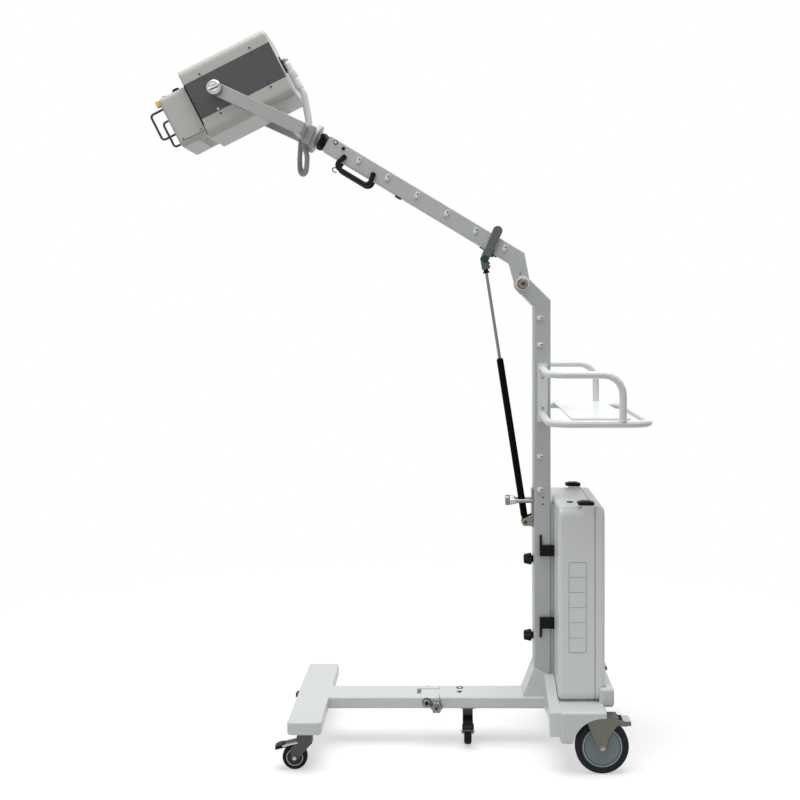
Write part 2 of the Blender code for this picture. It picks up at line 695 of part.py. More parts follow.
def front_leg(leg):
    """T-shaped leg in the fold's frame: its slot takes the spine's tongue, its end rolls round the bolt."""
    low, high = SPINE_LOW - FOLD_Z, SPINE_TOP - FOLD_Z
    bar_x = T_BAR_X - FOLD_X
    bar = prism(
        rounded((bar_x - T_BAR_WIDTH / 2, -T_BAR_HALF), (bar_x + T_BAR_WIDTH / 2, T_BAR_HALF), 0.014, 4),
        T_BAR_LOW - FOLD_Z, T_BAR_TOP - FOLD_Z, "z",
    )
    arm = prism(rounded((-SPINE_HALF, low), (SPINE_HALF, high), 0.006, 3), bar_x, FOLD_END_R, "x")
    end = rod((0, -0.1, 0), (0, 0.1, 0), FOLD_END_R, 40)
    keep = join(end, box((-1, -0.1, -0.1), (0, 0.1, 0.1)))
    combine(arm, [keep], "INTERSECT")
    soften(bar, 0.004, 2, 60)
    shape = join(bar, arm)
    slot_half = TONGUE_HALF + 0.0015
    cut(
        shape,
        box((-TONGUE_END - 0.012, -slot_half, -0.1), (0.1, slot_half, 0.1)),
        rod((0, -0.1, 0), (0, 0.1, 0), FOLD_BOLT_R + SEAT, 16),
    )
    piece(shape, "front_leg", "white_paint", leg)
    flank = SPINE_HALF + SEAT
    bolt = turned(
        [(0.010, -flank - 0.007), (0.0145, -flank - 0.004), (0.0145, -flank), (FOLD_BOLT_R, -flank),
         (FOLD_BOLT_R, flank), (0.0145, flank), (0.0145, flank + 0.004), (0.010, flank + 0.007)],
        (0, 0, 0), (0, 1, 0), 20,
    )
    piece(bolt, "fold_bolt", "steel", leg)
    knob = turned(
        [(0.007, 0), (0.007, 0.007), (0.017, 0.009), (0.0185, 0.013), (0.0185, 0.022), (0.016, 0.026)],
        (0.031, -flank, -0.010), (0, -1, 0), 16,
    )
    piece(knob, "fold_knob", "black_plastic", leg)


# Gas strut: barrel and rod in a frame at the foot pin, +Z along the strut

def strut(foot, rod_frame, length):
    eye_z = length
    tip = 0.026 + BARREL_LENGTH
    barrel = turned(
        [(0.0085, 0.016), (BARREL_R, 0.019), (BARREL_R, tip - 0.002), (BARREL_R - 0.002, tip)],
        (0, 0, 0), (0, 0, 1), 24,
    )
    lug = join(
        rod((0, -0.0115, 0), (0, 0.0115, 0), 0.011, 20),
        box((-0.008, -0.0115, 0), (0.008, 0.0115, 0.020)),
    )
    join(barrel, lug)
    cut(
        barrel,
        rod((0, -0.03, 0), (0, 0.03, 0), 0.004 + PIN_RUN, 12),
        rod((0, 0, tip - BARREL_BORE_DEPTH), (0, 0, tip + 0.01), BARREL_BORE_R, 16),
    )
    piece(barrel, "strut_barrel", "black_plastic", foot)
    tail = tip - ROD_INSIDE - eye_z
    stem = rod((0, 0, tail), (0, 0, -EYE_R), ROD_R, 16)
    head = join(
        rod((0, -EYE_WIDTH / 2, 0), (0, EYE_WIDTH / 2, 0), EYE_R, 20),
        box((-EYE_R, -EYE_WIDTH / 2, -0.034), (EYE_R, EYE_WIDTH / 2, 0)),
    )
    collar = turned([(0.0105, -0.047), (0.0105, -0.041), (0.008, -0.040), (0.008, -0.030)], (0, 0, 0), (0, 0, 1), 20)
    piece(join(head, collar, stem), "strut_rod", "steel", rod_frame)


def strut_lever(rod_frame):
    """Release lever on the rod's eye: a hub past the boom's flank and a paddle in front of it."""
    near = -EYE_WIDTH / 2 - SEAT
    plane = -BOOM_DEPTH / 2 - RUN - 0.004
    hub = rod((0, near, -0.004), (0, plane - 0.008, -0.004), 0.0115, 20)
    run, half_low, half_high = 0.100, 0.0118, 0.0155
    outline = []
    for i in range(9):
        angle = math.pi * i / 8
        outline.append((half_high * math.cos(angle), run + half_high * math.sin(angle)))
    for i in range(9):
        angle = math.pi + math.pi * i / 8
        outline.append((half_low * math.cos(angle), half_low * math.sin(angle)))
    paddle = prism(outline, plane - 0.008, plane)
    soften(paddle, 0.002, 2, 60)
    lean = Matrix.Rotation(math.radians(LEVER_LEAN), 4, "Y")
    paddle.data.transform(Matrix.Translation((0, 0, -0.004)) @ lean)
    piece(join(paddle, hub), "strut_lever", "grey_lever", rod_frame)


# Boom, in the pivot's frame

def boom(lift):
    knee = (KNEE_X - PIVOT_X, KNEE_Z - PIVOT_Z)
    tip = (knee[0] - BOOM_RUN * math.cos(BOOM_RISE), knee[1] + BOOM_RUN * math.sin(BOOM_RISE))
    outline = band([tip, knee, (0, 0)], [BOOM_HEIGHT, BOOM_HEIGHT, 0.048], round_end=True)
    shape = soften(prism(outline, -BOOM_DEPTH / 2, BOOM_DEPTH / 2), 0.003, 2, 50)
    cut(shape, rod((0, -0.1, 0), (0, 0.1, 0), PIVOT_BOLT_R + PIN_RUN, 20))
    piece(shape, "boom", "grey_paint", lift)


def along_boom(distance, below):
    """A point on the boom's long run: distance from the knee, and depth below its centreline."""
    x = KNEE_X - PIVOT_X - distance * math.cos(BOOM_RISE) - below * math.sin(BOOM_RISE)
    z = KNEE_Z - PIVOT_Z + distance * math.sin(BOOM_RISE) - below * math.cos(BOOM_RISE)
    return x, z


def eye_bracket(lift):
    """Angle plate under the boom, with one ear on the far side of the strut's eye."""
    under = BOOM_HEIGHT / 2 + SEAT
    station, depth = EYE_STATION, BOOM_HEIGHT / 2 + EYE_DROP
    eye_x, eye_z = along_boom(station, depth)
    base = prism([along_boom(station - 0.032, under), along_boom(station + 0.032, under),
                  along_boom(station + 0.032, under + 0.003), along_boom(station - 0.032, under + 0.003)],
                 EYE_WIDTH / 2 + RUN + 0.0005, BOOM_DEPTH / 2 - 0.001)
    low = EYE_WIDTH / 2 + RUN
    ear = prism([along_boom(station - 0.016, under + 0.001), along_boom(station + 0.016, under + 0.001),
                 along_boom(station + 0.011, depth + 0.008), along_boom(station, depth + 0.012),
                 along_boom(station - 0.011, depth + 0.008)], low, low + 0.004)
    boss = rod((eye_x, low - 0.003, eye_z), (eye_x, low + 0.009, eye_z), 0.007, 16)
    piece(join(base, ear, boss), "eye_bracket", "caster_steel", lift)


def boom_handles(lift):
    """Two black grab handles, one on each flank, with their grips below the boom."""
    top, low = 0.010, 0.050
    flank = BOOM_DEPTH / 2 + SEAT
    corners = [(BOOM_RUN - 0.072, top), (BOOM_RUN - 0.060, low), (BOOM_RUN - 0.188, low), (BOOM_RUN - 0.180, top)]
    path = []
    for station, depth in corners:
        x, z = along_boom(station, depth)
        path.append((x, -flank - 0.0075, z))
    grip = tube(bend_path(path, 0.016), 0.0075, 10)
    pads = []
    for x, y, z in (path[0], path[-1]):
        pads.append(rod((x, -flank - 0.0075, z), (x, -flank, z), 0.0085, 12))
    pair(join(grip, *pads), "boom_handle", "black_plastic", lift)


def swivel_clamp(swivel):
    """Black ring between the boom's tip and the yoke's flange, with its two clamp screws."""
    ring = turned([(0.0255, 0.0042), (0.0285, 0.006), (0.0285, 0.018), (0.0255, 0.020), (0.0255, 0.034)],
                  (0, 0, 0), (1, 0, 0), 28)
    space = box((-SEAT, -BOOM_DEPTH / 2, -BOOM_HEIGHT / 2), (0.1, BOOM_DEPTH / 2, BOOM_HEIGHT / 2))
    lean = Matrix.Rotation(BOOM_RISE - YOKE_RISE, 4, "Y")
    space.data.transform(Matrix.Translation((CLAMP_LENGTH, 0, 0)) @ lean)
    cut(ring, space)
    screws = []
    for z in (-0.015, 0.015):
        screws.append(turned([(0.004, 0.010), (0.004, 0.030), (0.0075, 0.030), (0.0075, 0.040), (0.006, 0.042)],
                             (0.012, 0, z), (0, -1, 0), 12))
    piece(join(ring, *screws), "swivel_clamp", "black_plastic", swivel)


# Yoke, in the swivel's frame: +X runs back along its axis to the boom

def yoke(swivel):
    base_x = YOKE_BASE_REACH - SWIVEL_REACH
    outer = YOKE_ARM_Y + YOKE_ARM_THICK
    back = base_x + YOKE_BASE_LENGTH
    half = YOKE_ARM_HEIGHT / 2
    past = -SWIVEL_REACH - YOKE_ARM_HEIGHT
    plan = [(past, -outer), (back, -outer), (back, outer), (past, outer),
            (past, YOKE_ARM_Y), (base_x, YOKE_ARM_Y), (base_x, -YOKE_ARM_Y), (past, -YOKE_ARM_Y)]
    frame_shape = prism(plan, -YOKE_ARM_HEIGHT, YOKE_ARM_HEIGHT, "z")
    profile = [(back + LAP, -half), (back + LAP, half)]
    for i in range(9):
        angle = math.pi / 2 + math.pi * i / 8
        profile.append((half * math.cos(angle) - SWIVEL_REACH, half * math.sin(angle)))
    combine(frame_shape, [prism(profile, -outer - LAP, outer + LAP)], "INTERSECT")
    soften(frame_shape, 0.002, 2, 60)
    hub_back = back + HUB_LENGTH
    hub = box((back - LAP, -HUB_HALF, -HUB_HALF_HEIGHT), (hub_back, HUB_HALF, HUB_HALF_HEIGHT))
    soften(hub, 0.003, 2)
    flange = turned([(FLANGE_R, hub_back - LAP), (FLANGE_R + 0.001, hub_back), (FLANGE_R + 0.001, -FLANGE_BACK - LAP),
                     (FLANGE_R - 0.002, -FLANGE_BACK), (SWIVEL_NECK_R, -FLANGE_BACK), (SWIVEL_NECK_R, 0.0039)],
                    (0, 0, 0), (1, 0, 0), 32)
    join(frame_shape, hub, flange)
    for side in (-1, 1):
        ends = [(-SWIVEL_REACH, side * (YOKE_ARM_Y - LAP), 0), (-SWIVEL_REACH, side * (outer + LAP), 0)]
        cut(frame_shape, rod(*ends, TILT_BUSH_R + SEAT, 20))
    piece(frame_shape, "yoke", "grey_paint", swivel)


# Tube head, in the tilt axis's frame: +X is u, +Z is v

def tube_head(tilt):
    section = rounded((-HEAD_HALF, HEAD_LOW), (HEAD_HALF, HEAD_TOP), HEAD_CORNER, 5)
    shell = prism(section, HEAD_FRONT, HEAD_BACK, "x")
    bm = bmesh.new()
    bm.from_mesh(shell.data)
    ends = [e for e in bm.edges if abs(e.verts[0].co.x - e.verts[1].co.x) < 1e-6]
    bmesh.ops.bevel(bm, geom=ends, offset=0.004, segments=2, profile=0.5, affect="EDGES")
    bm.to_mesh(shell.data)
    bm.free()
    for side in (-1, 1):
        y0, y1 = sorted((side * (HEAD_HALF - STRIPE_THICK - SEAT), side * (HEAD_HALF + 0.01)))
        cut(shell, box((HEAD_FRONT - 0.01, y0, STRIPE_LOW), (HEAD_BACK + 0.01, y1, STRIPE_TOP)))
    piece(shell, "head_housing", "white_paint", tilt)
    panel = box((HEAD_FRONT + 0.001, -HEAD_HALF, STRIPE_LOW + SEAT),
                (HEAD_BACK - 0.001, -HEAD_HALF + STRIPE_THICK, STRIPE_TOP - SEAT))
    pair(panel, "head_side_panel", "dark_panel", tilt)
    reach = YOKE_ARM_Y + YOKE_ARM_THICK
    start = HEAD_HALF + SEAT
    knob = turned(
        [(TILT_BUSH_R + 0.004, start), (TILT_BUSH_R + 0.004, YOKE_ARM_Y - 0.0015), (TILT_BUSH_R - 0.001, YOKE_ARM_Y - 0.0015),
         (TILT_BUSH_R - 0.001, reach + 0.0015), (TILT_KNOB_R, reach + 0.0015), (TILT_KNOB_R, reach + TILT_KNOB_LENGTH - 0.004),
         (TILT_KNOB_R - 0.004, reach + TILT_KNOB_LENGTH)],
        (0, 0, 0), (0, -1, 0), 28,
    )
    pair(knob, "tilt_knob", "steel", tilt)


def collimator(tilt):
    """The beam limiter under the tube's window: rounded box, neck, bails and its controls."""
    back = HEAD_FRONT - COLLIMATOR_NECK
    section = rounded((-COLLIMATOR_HALF, COLLIMATOR_LOW), (COLLIMATOR_HALF, COLLIMATOR_TOP), COLLIMATOR_CORNER, 4)
    shape = prism(section, COLLIMATOR_FRONT, back, "x")
    bm = bmesh.new()
    bm.from_mesh(shape.data)
    front = [e for e in bm.edges if all(abs(v.co.x - COLLIMATOR_FRONT) < 1e-6 for v in e.verts)]
    bmesh.ops.bevel(bm, geom=front, offset=0.010, segments=3, profile=0.5, affect="EDGES")
    bm.to_mesh(shape.data)
    bm.free()
    piece(shape, "collimator", "white_paint", tilt)
    neck = box((back + SEAT, -COLLIMATOR_HALF + 0.006, COLLIMATOR_LOW + 0.006),
               (HEAD_FRONT - SEAT, COLLIMATOR_HALF - 0.006, COLLIMATOR_TOP - 0.006))
    piece(neck, "collimator_neck", "black_plastic", tilt)
    face = COLLIMATOR_FRONT - SEAT
    far = face - BAIL_REACH
    corners = [(face, 0, BAIL_TOP), (far, 0, BAIL_TOP), (far, 0, BAIL_LOW), (face, 0, BAIL_LOW)]
    bail = tube([(p.x, -BAIL_Y, p.z) for p in bend_path(corners, 0.010, 4)], BAIL_R, 10)
    pair(bail, "collimator_bail", "grey_lever", tilt)


def head_socket(tilt):
    """Cable socket on the back of the head, with the white plug that lies along the back."""
    face = HEAD_BACK + SEAT
    socket = box((face, -0.016, -0.020), (face + 0.004, 0.016, 0.030))
    plug = turned(
        [(0.007, 0), (0.0095, 0.004), (0.0095, 0.018), (0.012, 0.022), (0.012, 0.078), (0.0125, 0.082),
         (0.0125, PLUG_LENGTH - 0.003), (0.011, PLUG_LENGTH)],
        (HEAD_BACK + PLUG_STAND, 0, PLUG_TOP_V), (PLUG_LEAN, 0, -1), 16,
    )
    space = plug.copy()
    space.data = plug.data.copy()
    bpy.context.scene.collection.objects.link(space)
    for v in space.data.vertices:
        v.co.y *= 1.03
        v.co.x -= 2 * SEAT
    cut(socket, space)
    piece(socket, "head_socket", "black_plastic", tilt)
    piece(plug, "head_plug", "cable_white", tilt)


def smooth_route(points, spacing):
    """Evenly spaced points on a curve through the route's own points."""
    spots = [Vector(p) for p in points]
    ends = [2 * spots[0] - spots[1]] + spots + [2 * spots[-1] - spots[-2]]
    fine = []
    for a, b, c, d in zip(ends, ends[1:], ends[2:], ends[3:]):
        for i in range(40):
            t = i / 40
            fine.append(0.5 * (2 * b + (c - a) * t + (2 * a - 5 * b + 4 * c - d) * t * t
                               + (3 * b - a - 3 * c + d) * t ** 3))
    fine.append(spots[-1])
    length = sum((q - p).length for p, q in zip(fine, fine[1:]))
    count = max(2, round(length / spacing))
    step = length / count
    kept, gone, want = [fine[0]], 0.0, step
    for p, q in zip(fine, fine[1:]):
        piece_length = (q - p).length
        while gone + piece_length >= want and len(kept) < count:
            kept.append(p.lerp(q, (want - gone) / piece_length))
            want += step
        gone += piece_length
    kept.append(fine[-1])
    return kept


def cord(name, route, radius, finish, parent, sides=2):
    """A cord as a round curve along its route, which is given in the stand's own x, y, z."""
    points = smooth_route(route, radius * 1.3)
    curve = bpy.data.curves.new(name, "CURVE")
    curve.dimensions = "3D"
    curve.bevel_depth = radius
    curve.bevel_resolution = sides
    curve.use_fill_caps = True
    spline = curve.splines.new("POLY")
    spline.points.add(len(points) - 1)
    for spot, point in zip(spline.points, points):
        spot.co = (MAST_X + point.x, point.y, point.z, 1)
    made = bpy.data.objects.new(name, curve)
    made.data.materials.append(material(finish))
    bpy.context.scene.collection.objects.link(made)
    bpy.context.view_layer.update()
    made.parent = parent
    made.matrix_parent_inverse = parent.matrix_world.inverted()
    return made


def build():
    base = frame("base_frame", 0, 0, 0)
    rear_chassis(base)
    mast(base)
    pivot_bolt(base)
    case(base)
    case_brackets(base)
    mast_knobs(base)
    handrail(base)
    strut_bracket(base)
    rear_wheel_forks(base)
    for side, name in ((-1, "rear_wheel_near"), (1, "rear_wheel_far")):
        axle = frame(f"{name}_axle", REAR_X, side * REAR_Y, REAR_R)
        wheel(name, axle, REAR_R, REAR_WIDTH, 0.060, 0.050, AXLE_R, "tyre", "wheel_grey", 48)
    leg = frame("fold_axis", FOLD_X, 0, FOLD_Z)
    front_leg(leg)
    caster("front_caster_near", T_BAR_X, -FRONT_CASTER_Y, 0.0, leg)
    caster("front_caster_far", T_BAR_X, FRONT_CASTER_Y, 0.0, leg)
    caster("mid_caster", MID_CASTER_X, 0, math.radians(90), base)
    lift = frame("lift_axis", PIVOT_X, 0, PIVOT_Z)
    boom(lift)
    eye_bracket(lift)
    boom_handles(lift)
    eye_x, eye_z = along_boom(EYE_STATION, BOOM_HEIGHT / 2 + EYE_DROP)
    eye_x, eye_z = PIVOT_X + eye_x, PIVOT_Z + eye_z
    run = Vector((eye_x - STRUT_FOOT_X, eye_z - STRUT_FOOT_Z))
    lean = math.atan2(run.x, run.y)
    foot = frame("strut_foot", STRUT_FOOT_X, 0, STRUT_FOOT_Z, lean)
    rod_frame = frame("strut_eye", eye_x, 0, eye_z, lean)
    strut(foot, rod_frame, run.length)
    strut_lever(rod_frame)
    tip_x = KNEE_X - BOOM_RUN * math.cos(BOOM_RISE)
    tip_z = KNEE_Z + BOOM_RUN * math.sin(BOOM_RISE)
    swivel = frame("swivel_axis", tip_x - CLAMP_LENGTH * math.cos(YOKE_RISE),
                   0, tip_z + CLAMP_LENGTH * math.sin(YOKE_RISE), YOKE_RISE)
    swivel_clamp(swivel)
    yoke(swivel)
    reach = CLAMP_LENGTH + SWIVEL_REACH
    tilt = frame("tilt_axis", tip_x - reach * math.cos(YOKE_RISE), 0, tip_z + reach * math.sin(YOKE_RISE), -HEAD_TILT)
    tube_head(tilt)
    collimator(tilt)
    head_socket(tilt)
    cables(swivel, tilt)


def cables(swivel, tilt):
    """The tube's cable and the corrugated hose, both held at their ends by the yoke's base."""
    bpy.context.view_layer.update()
    from_swivel = swivel.matrix_world
    from_tilt = tilt.matrix_world
    shift = Vector((MAST_X, 0, 0))
    back = YOKE_BASE_REACH + YOKE_BASE_LENGTH - SWIVEL_REACH
    base_mid = back - 2 * LAP - CABLE_R
    hub_mid = back + HUB_LENGTH / 2 - 0.004
    down = Vector((PLUG_LEAN, 0, -1)).normalized()
    plug_end = Vector((HEAD_BACK + PLUG_STAND, 0, PLUG_TOP_V)) + down * (PLUG_LENGTH + CORD_GAP)
    start = from_tilt @ plug_end - shift
    along = (from_tilt.to_3x3() @ down).normalized()
    end = from_swivel @ Vector((base_mid, 0, YOKE_ARM_HEIGHT / 2 + CORD_GAP)) - shift
    up = (from_swivel.to_3x3() @ Vector((0, 0, 1))).normalized()
    bulge = (start + end) / 2 + Vector((0.009, 0, 0))
    route = [start, start + along * 0.018, bulge, end + up * 0.018, end]
    cord("head_cable", route, CABLE_R, "cable_white", swivel)
    left = from_swivel @ Vector((base_mid, HOSE_HALF, -YOKE_ARM_HEIGHT / 2 - HOSE_GAP)) - shift
    right = from_swivel @ Vector((hub_mid, -HOSE_HALF, -HUB_HALF_HEIGHT - HOSE_GAP)) - shift
    low = Vector(((left.x + right.x) / 2, 0, (left.z + right.z) / 2 - HOSE_HANG))
    bend = HOSE_HALF + 0.002
    route = [
        left, left - up * 0.007, left - up * 0.014, Vector((low.x - 0.012, bend, low.z + 0.030)),
        Vector((low.x - 0.008, bend * 0.72, low.z + 0.008)), low,
        Vector((low.x + 0.008, -bend * 0.72, low.z + 0.008)), Vector((low.x + 0.012, -bend, low.z + 0.030)),
        right - up * 0.024, right - up * 0.012, right,
    ]
    cord("hose_loop", route, HOSE_R, "hose_grey", swivel)


build()
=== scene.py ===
# %% [markdown]
# A portable x-ray machine on a wheeled stand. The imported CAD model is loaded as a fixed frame: it holds
# every solid piece at its true size and says which piece moves with which. This script adds what the eye
# sees on top of it: the camera, the light, the finish of each surface, and the small shapes that are too
# fine for CAD.

# %% Load the frame
import json
import math

import bmesh
import bpy
from mathutils import Matrix, Vector


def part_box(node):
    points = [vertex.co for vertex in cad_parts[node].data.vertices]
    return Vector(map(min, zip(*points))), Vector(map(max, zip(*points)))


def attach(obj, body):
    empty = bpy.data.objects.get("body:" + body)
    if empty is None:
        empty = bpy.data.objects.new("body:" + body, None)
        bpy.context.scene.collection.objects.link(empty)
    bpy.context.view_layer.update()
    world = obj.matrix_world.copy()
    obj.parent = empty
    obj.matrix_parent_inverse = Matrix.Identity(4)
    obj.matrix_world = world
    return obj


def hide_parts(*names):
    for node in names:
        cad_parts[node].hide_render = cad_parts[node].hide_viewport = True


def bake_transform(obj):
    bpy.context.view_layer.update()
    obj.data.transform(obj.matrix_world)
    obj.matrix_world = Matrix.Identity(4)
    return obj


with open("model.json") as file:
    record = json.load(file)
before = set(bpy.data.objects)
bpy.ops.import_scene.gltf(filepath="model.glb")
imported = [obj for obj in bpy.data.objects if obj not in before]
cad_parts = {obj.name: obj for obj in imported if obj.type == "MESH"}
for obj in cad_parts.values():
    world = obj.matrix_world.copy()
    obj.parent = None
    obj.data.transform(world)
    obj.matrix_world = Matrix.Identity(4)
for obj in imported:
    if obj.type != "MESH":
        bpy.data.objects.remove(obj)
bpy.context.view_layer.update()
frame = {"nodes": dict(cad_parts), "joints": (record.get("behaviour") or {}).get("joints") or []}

NODES = frame["nodes"]
JOINTS = {joint["name"]: joint for joint in frame["joints"]}
scene = bpy.context.scene

# %% [markdown]
# Nearly every detail sits on a part that leans: the head, the yoke, the boom, the gas strut. Its place could
# be typed in world numbers, but those say nothing to a maker. So each part gets its own local frame, a
# matrix that starts on the part's joint and is turned with it. A screw is then given in plain numbers along
# and across its own part, as it would be marked out on the bench.

# %% Local frames of the parts
MAST_HALF = 0.026
MAST_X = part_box("mast")[1].x - MAST_HALF
BOOM_RISE, YOKE_RISE, HEAD_TILT = math.radians(31.1), math.radians(24.8), math.radians(27.0)
KNEE_FROM_PIVOT = Vector((-0.0182, 0, 0.082))


def joint_spot(name):
    return Vector(JOINTS[name]["pos_m"])


def moved(x=0, y=0, z=0):
    return Matrix.Translation((x, y, z))


def leaning(spot, angle):
    """A frame at a point, turned about the machine's Y axis."""
    return Matrix.Translation(spot) @ Matrix.Rotation(angle, 4, "Y")


def from_axes(x, y, z, spot):
    """A frame with three given axes, each a unit vector."""
    return Matrix([(*row, place) for row, place in zip(zip(x, y, z), spot)] + [(0, 0, 0, 1)])


def facing(matrix, spot, direction):
    """A frame at a spot of another frame, with its Z axis pointing in a direction of that frame."""
    turn = Vector(direction).to_track_quat("Z", "Y").to_matrix().to_4x4()
    return matrix @ Matrix.Translation(spot) @ turn


def on_flank(matrix, sign, x, y, z):
    """A frame on one flank of a part, looking straight out. The sign is -1 near the camera and 1 beyond."""
    return facing(matrix, (x, sign * y, z), (0, sign, 0))


def local_box(node, matrix):
    """Lowest and highest corner of a CAD piece, measured in a local frame."""
    back = matrix.inverted()
    spots = [back @ v.co for v in NODES[node].data.vertices]
    return (Vector(min(s[i] for s in spots) for i in range(3)),
            Vector(max(s[i] for s in spots) for i in range(3)))


def middle(node):
    low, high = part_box(node)
    return (low + high) / 2


rise_cos, rise_sin = math.cos(BOOM_RISE), math.sin(BOOM_RISE)
knee_spot = joint_spot("boom_lift") + KNEE_FROM_PIVOT
KNEE = from_axes((-rise_cos, 0, rise_sin), (0, -1, 0), (rise_sin, 0, rise_cos), knee_spot)
STAND = moved(MAST_X)
SWIVEL = leaning(joint_spot("yoke_roll"), YOKE_RISE)
HEAD = leaning(joint_spot("head_tilt"), -HEAD_TILT)
slide = JOINTS["strut_slide"]["axis"]
STRUT = leaning(joint_spot("strut_tilt"), math.atan2(slide[0], slide[2]))
UP = Matrix.Identity(4)
SIDES = (("near", -1), ("far", 1))
print("mast at x", round(MAST_X, 4), "head at", [round(v, 3) for v in HEAD.translation])

# %% [markdown]
# The photograph was taken level, from a few metres away, with the machine to one side of the lens's axis.
# The camera could be turned towards the machine, but upright edges would then lean. A shifted lens keeps
# them upright: the camera stays level, and the picture slides sideways and down instead.

# %% Camera
CAMERA_FROM_MAST, CAMERA_DISTANCE, CAMERA_HEIGHT = -0.2925, 3.5, 1.395
LENS_MM, SENSOR_MM, SHIFT_X, SHIFT_Y = 49.14, 36, -0.0625, -0.12
lens = bpy.data.cameras.new("studio_camera")
lens.lens = LENS_MM
lens.sensor_width = SENSOR_MM
lens.shift_x = SHIFT_X
lens.shift_y = SHIFT_Y
camera = bpy.data.objects.new("studio_camera", lens)
camera.location = (MAST_X + CAMERA_FROM_MAST, -CAMERA_DISTANCE, CAMERA_HEIGHT)
camera.rotation_euler = (math.radians(90), 0, 0)
scene.collection.objects.link(camera)
scene.camera = camera
print("camera at", [round(v, 3) for v in camera.location])

# %% [markdown]
# Shader trees are nodes with wires between them. Written out in full they hide what they do, so three short
# helpers add a node with its values, join sockets, and do one sum. Each value is set on a named socket.

# %% Node helpers
def add_node(tree, kind, **values):
    """A new shader node, with some of its sockets set. An underscore in a socket's name is a space."""
    node = tree.nodes.new("ShaderNode" + kind)
    for label, value in values.items():
        node.inputs[label.replace("_", " ")].default_value = value
    return node


def wire(tree, *pairs):
    """Joins an output to an input, pair by pair."""
    for output, socket in pairs:
        tree.links.new(output, socket)


def fill(tree, socket, value):
    """Gives a socket a number, or a wire from another socket."""
    if isinstance(value, (int, float)):
        socket.default_value = value
    else:
        tree.links.new(value, socket)


def maths(tree, operation, a, b):
    """One Math node. Each argument is a number or a socket."""
    node = add_node(tree, "Math")
    node.operation = operation
    fill(tree, node.inputs[0], a)
    fill(tree, node.inputs[1], b)
    return node.outputs[0]


print("node helpers ready")

# %% [markdown]
# Pale paint, steel and black plastic need one broad soft lamp from above and a little from the camera's
# side. The world gives the rest. What the camera sees past the floor is white, and so is what metal and
# glass mirror. A brighter world would do that too, but it would wash out the paint, so the light that falls
# on the machine stays as low as in a plain studio.

# %% Light and backdrop
WHITE = (1, 1, 1, 1)
WORLD_LEVEL = 0.26
LAMPS = (
    ("overhead_softbox", (-0.1, -0.6, 7.0), (0.0, 0.0, 0.8), (5.5, 4.5), 420),
    ("front_softbox", (-2.2, -3.4, 2.4), (0.1, 0.0, 1.1), (2.2, 2.2), 24),
    ("rear_softbox", (2.6, 2.6, 2.6), (0.2, 0.0, 1.0), (2.2, 2.2), 16),
)


def seen_directly(tree):
    """A mask that is 1 for what the eye, a mirror or a window sees, and 0 for light that falls on things."""
    rays = add_node(tree, "LightPath").outputs
    mirrored = maths(tree, "MAXIMUM", rays["Is Camera Ray"], rays["Is Glossy Ray"])
    return maths(tree, "MAXIMUM", mirrored, rays["Is Transmission Ray"])


def studio_world():
    scene.view_settings.view_transform = "Standard"
    world = bpy.data.worlds.new("studio_world")
    scene.world = world
    world.use_nodes = True
    tree = world.node_tree
    tree.nodes.clear()
    light = add_node(tree, "Background", Color=WHITE, Strength=WORLD_LEVEL)
    backdrop = add_node(tree, "Background", Color=WHITE, Strength=1.0)
    mix = add_node(tree, "MixShader")
    end = add_node(tree, "OutputWorld")
    wire(tree, (seen_directly(tree), mix.inputs[0]), (light.outputs[0], mix.inputs[1]),
         (backdrop.outputs[0], mix.inputs[2]), (mix.outputs[0], end.inputs[0]))


def lamp(name, place, aim, size, watts):
    light = bpy.data.lights.new(name, "AREA")
    light.shape = "RECTANGLE"
    light.size, light.size_y = size
    light.energy = watts
    made = bpy.data.objects.new(name, light)
    made.location = place
    made.rotation_euler = (Vector(aim) - Vector(place)).to_track_quat("-Z", "Y").to_euler()
    scene.collection.objects.link(made)


studio_world()
for settings in LAMPS:
    lamp(*settings)
print(len(LAMPS), "lamps")

# %% [markdown]
# The floor is a sheet of pale paper that keeps the machine's shadow. Its far edge would show as a horizon,
# so it fades to clear with the distance from the machine. It looks as white as the backdrop because it glows
# a little for the eye alone. More light on it would also lift the paint.

# %% Floor
FLOOR_HALF, FLOOR_DROP = 6.0, 0.0006
FADE_START, FADE_END = 0.9, 2.6
PAPER, FLOOR_LIFT = 0.62, 0.50


def floor_paper():
    look = bpy.data.materials.new("floor_paper")
    look.use_nodes = True
    tree = look.node_tree
    tree.nodes.clear()
    paper = add_node(tree, "BsdfDiffuse", Color=(PAPER, PAPER, PAPER, 1))
    glow = add_node(tree, "Emission")
    both = add_node(tree, "AddShader")
    clear = add_node(tree, "BsdfTransparent")
    spot = add_node(tree, "TexCoord")
    far = add_node(tree, "VectorMath")
    far.operation = "LENGTH"
    fade = add_node(tree, "MapRange", From_Min=FADE_START, From_Max=FADE_END)
    fade.interpolation_type = "SMOOTHSTEP"
    mix = add_node(tree, "MixShader")
    end = add_node(tree, "OutputMaterial")
    wire(tree, (maths(tree, "MULTIPLY", seen_directly(tree), FLOOR_LIFT), glow.inputs["Strength"]),
         (paper.outputs[0], both.inputs[0]), (glow.outputs[0], both.inputs[1]),
         (spot.outputs["Object"], far.inputs[0]), (far.outputs["Value"], fade.inputs["Value"]),
         (fade.outputs[0], mix.inputs[0]), (both.outputs[0], mix.inputs[1]),
         (clear.outputs[0], mix.inputs[2]), (mix.outputs[0], end.inputs[0]))
    return look


def studio_floor():
    bm = bmesh.new()
    bmesh.ops.create_grid(bm, x_segments=12, y_segments=12, size=FLOOR_HALF)
    mesh = bpy.data.meshes.new("studio_floor")
    bm.to_mesh(mesh)
    bm.free()
    mesh.materials.append(floor_paper())
    made = bpy.data.objects.new("studio_floor", mesh)
    made.location = (0, 0, -FLOOR_DROP)
    scene.collection.objects.link(made)


studio_floor()
print("floor", 2 * FLOOR_HALF, "m wide")

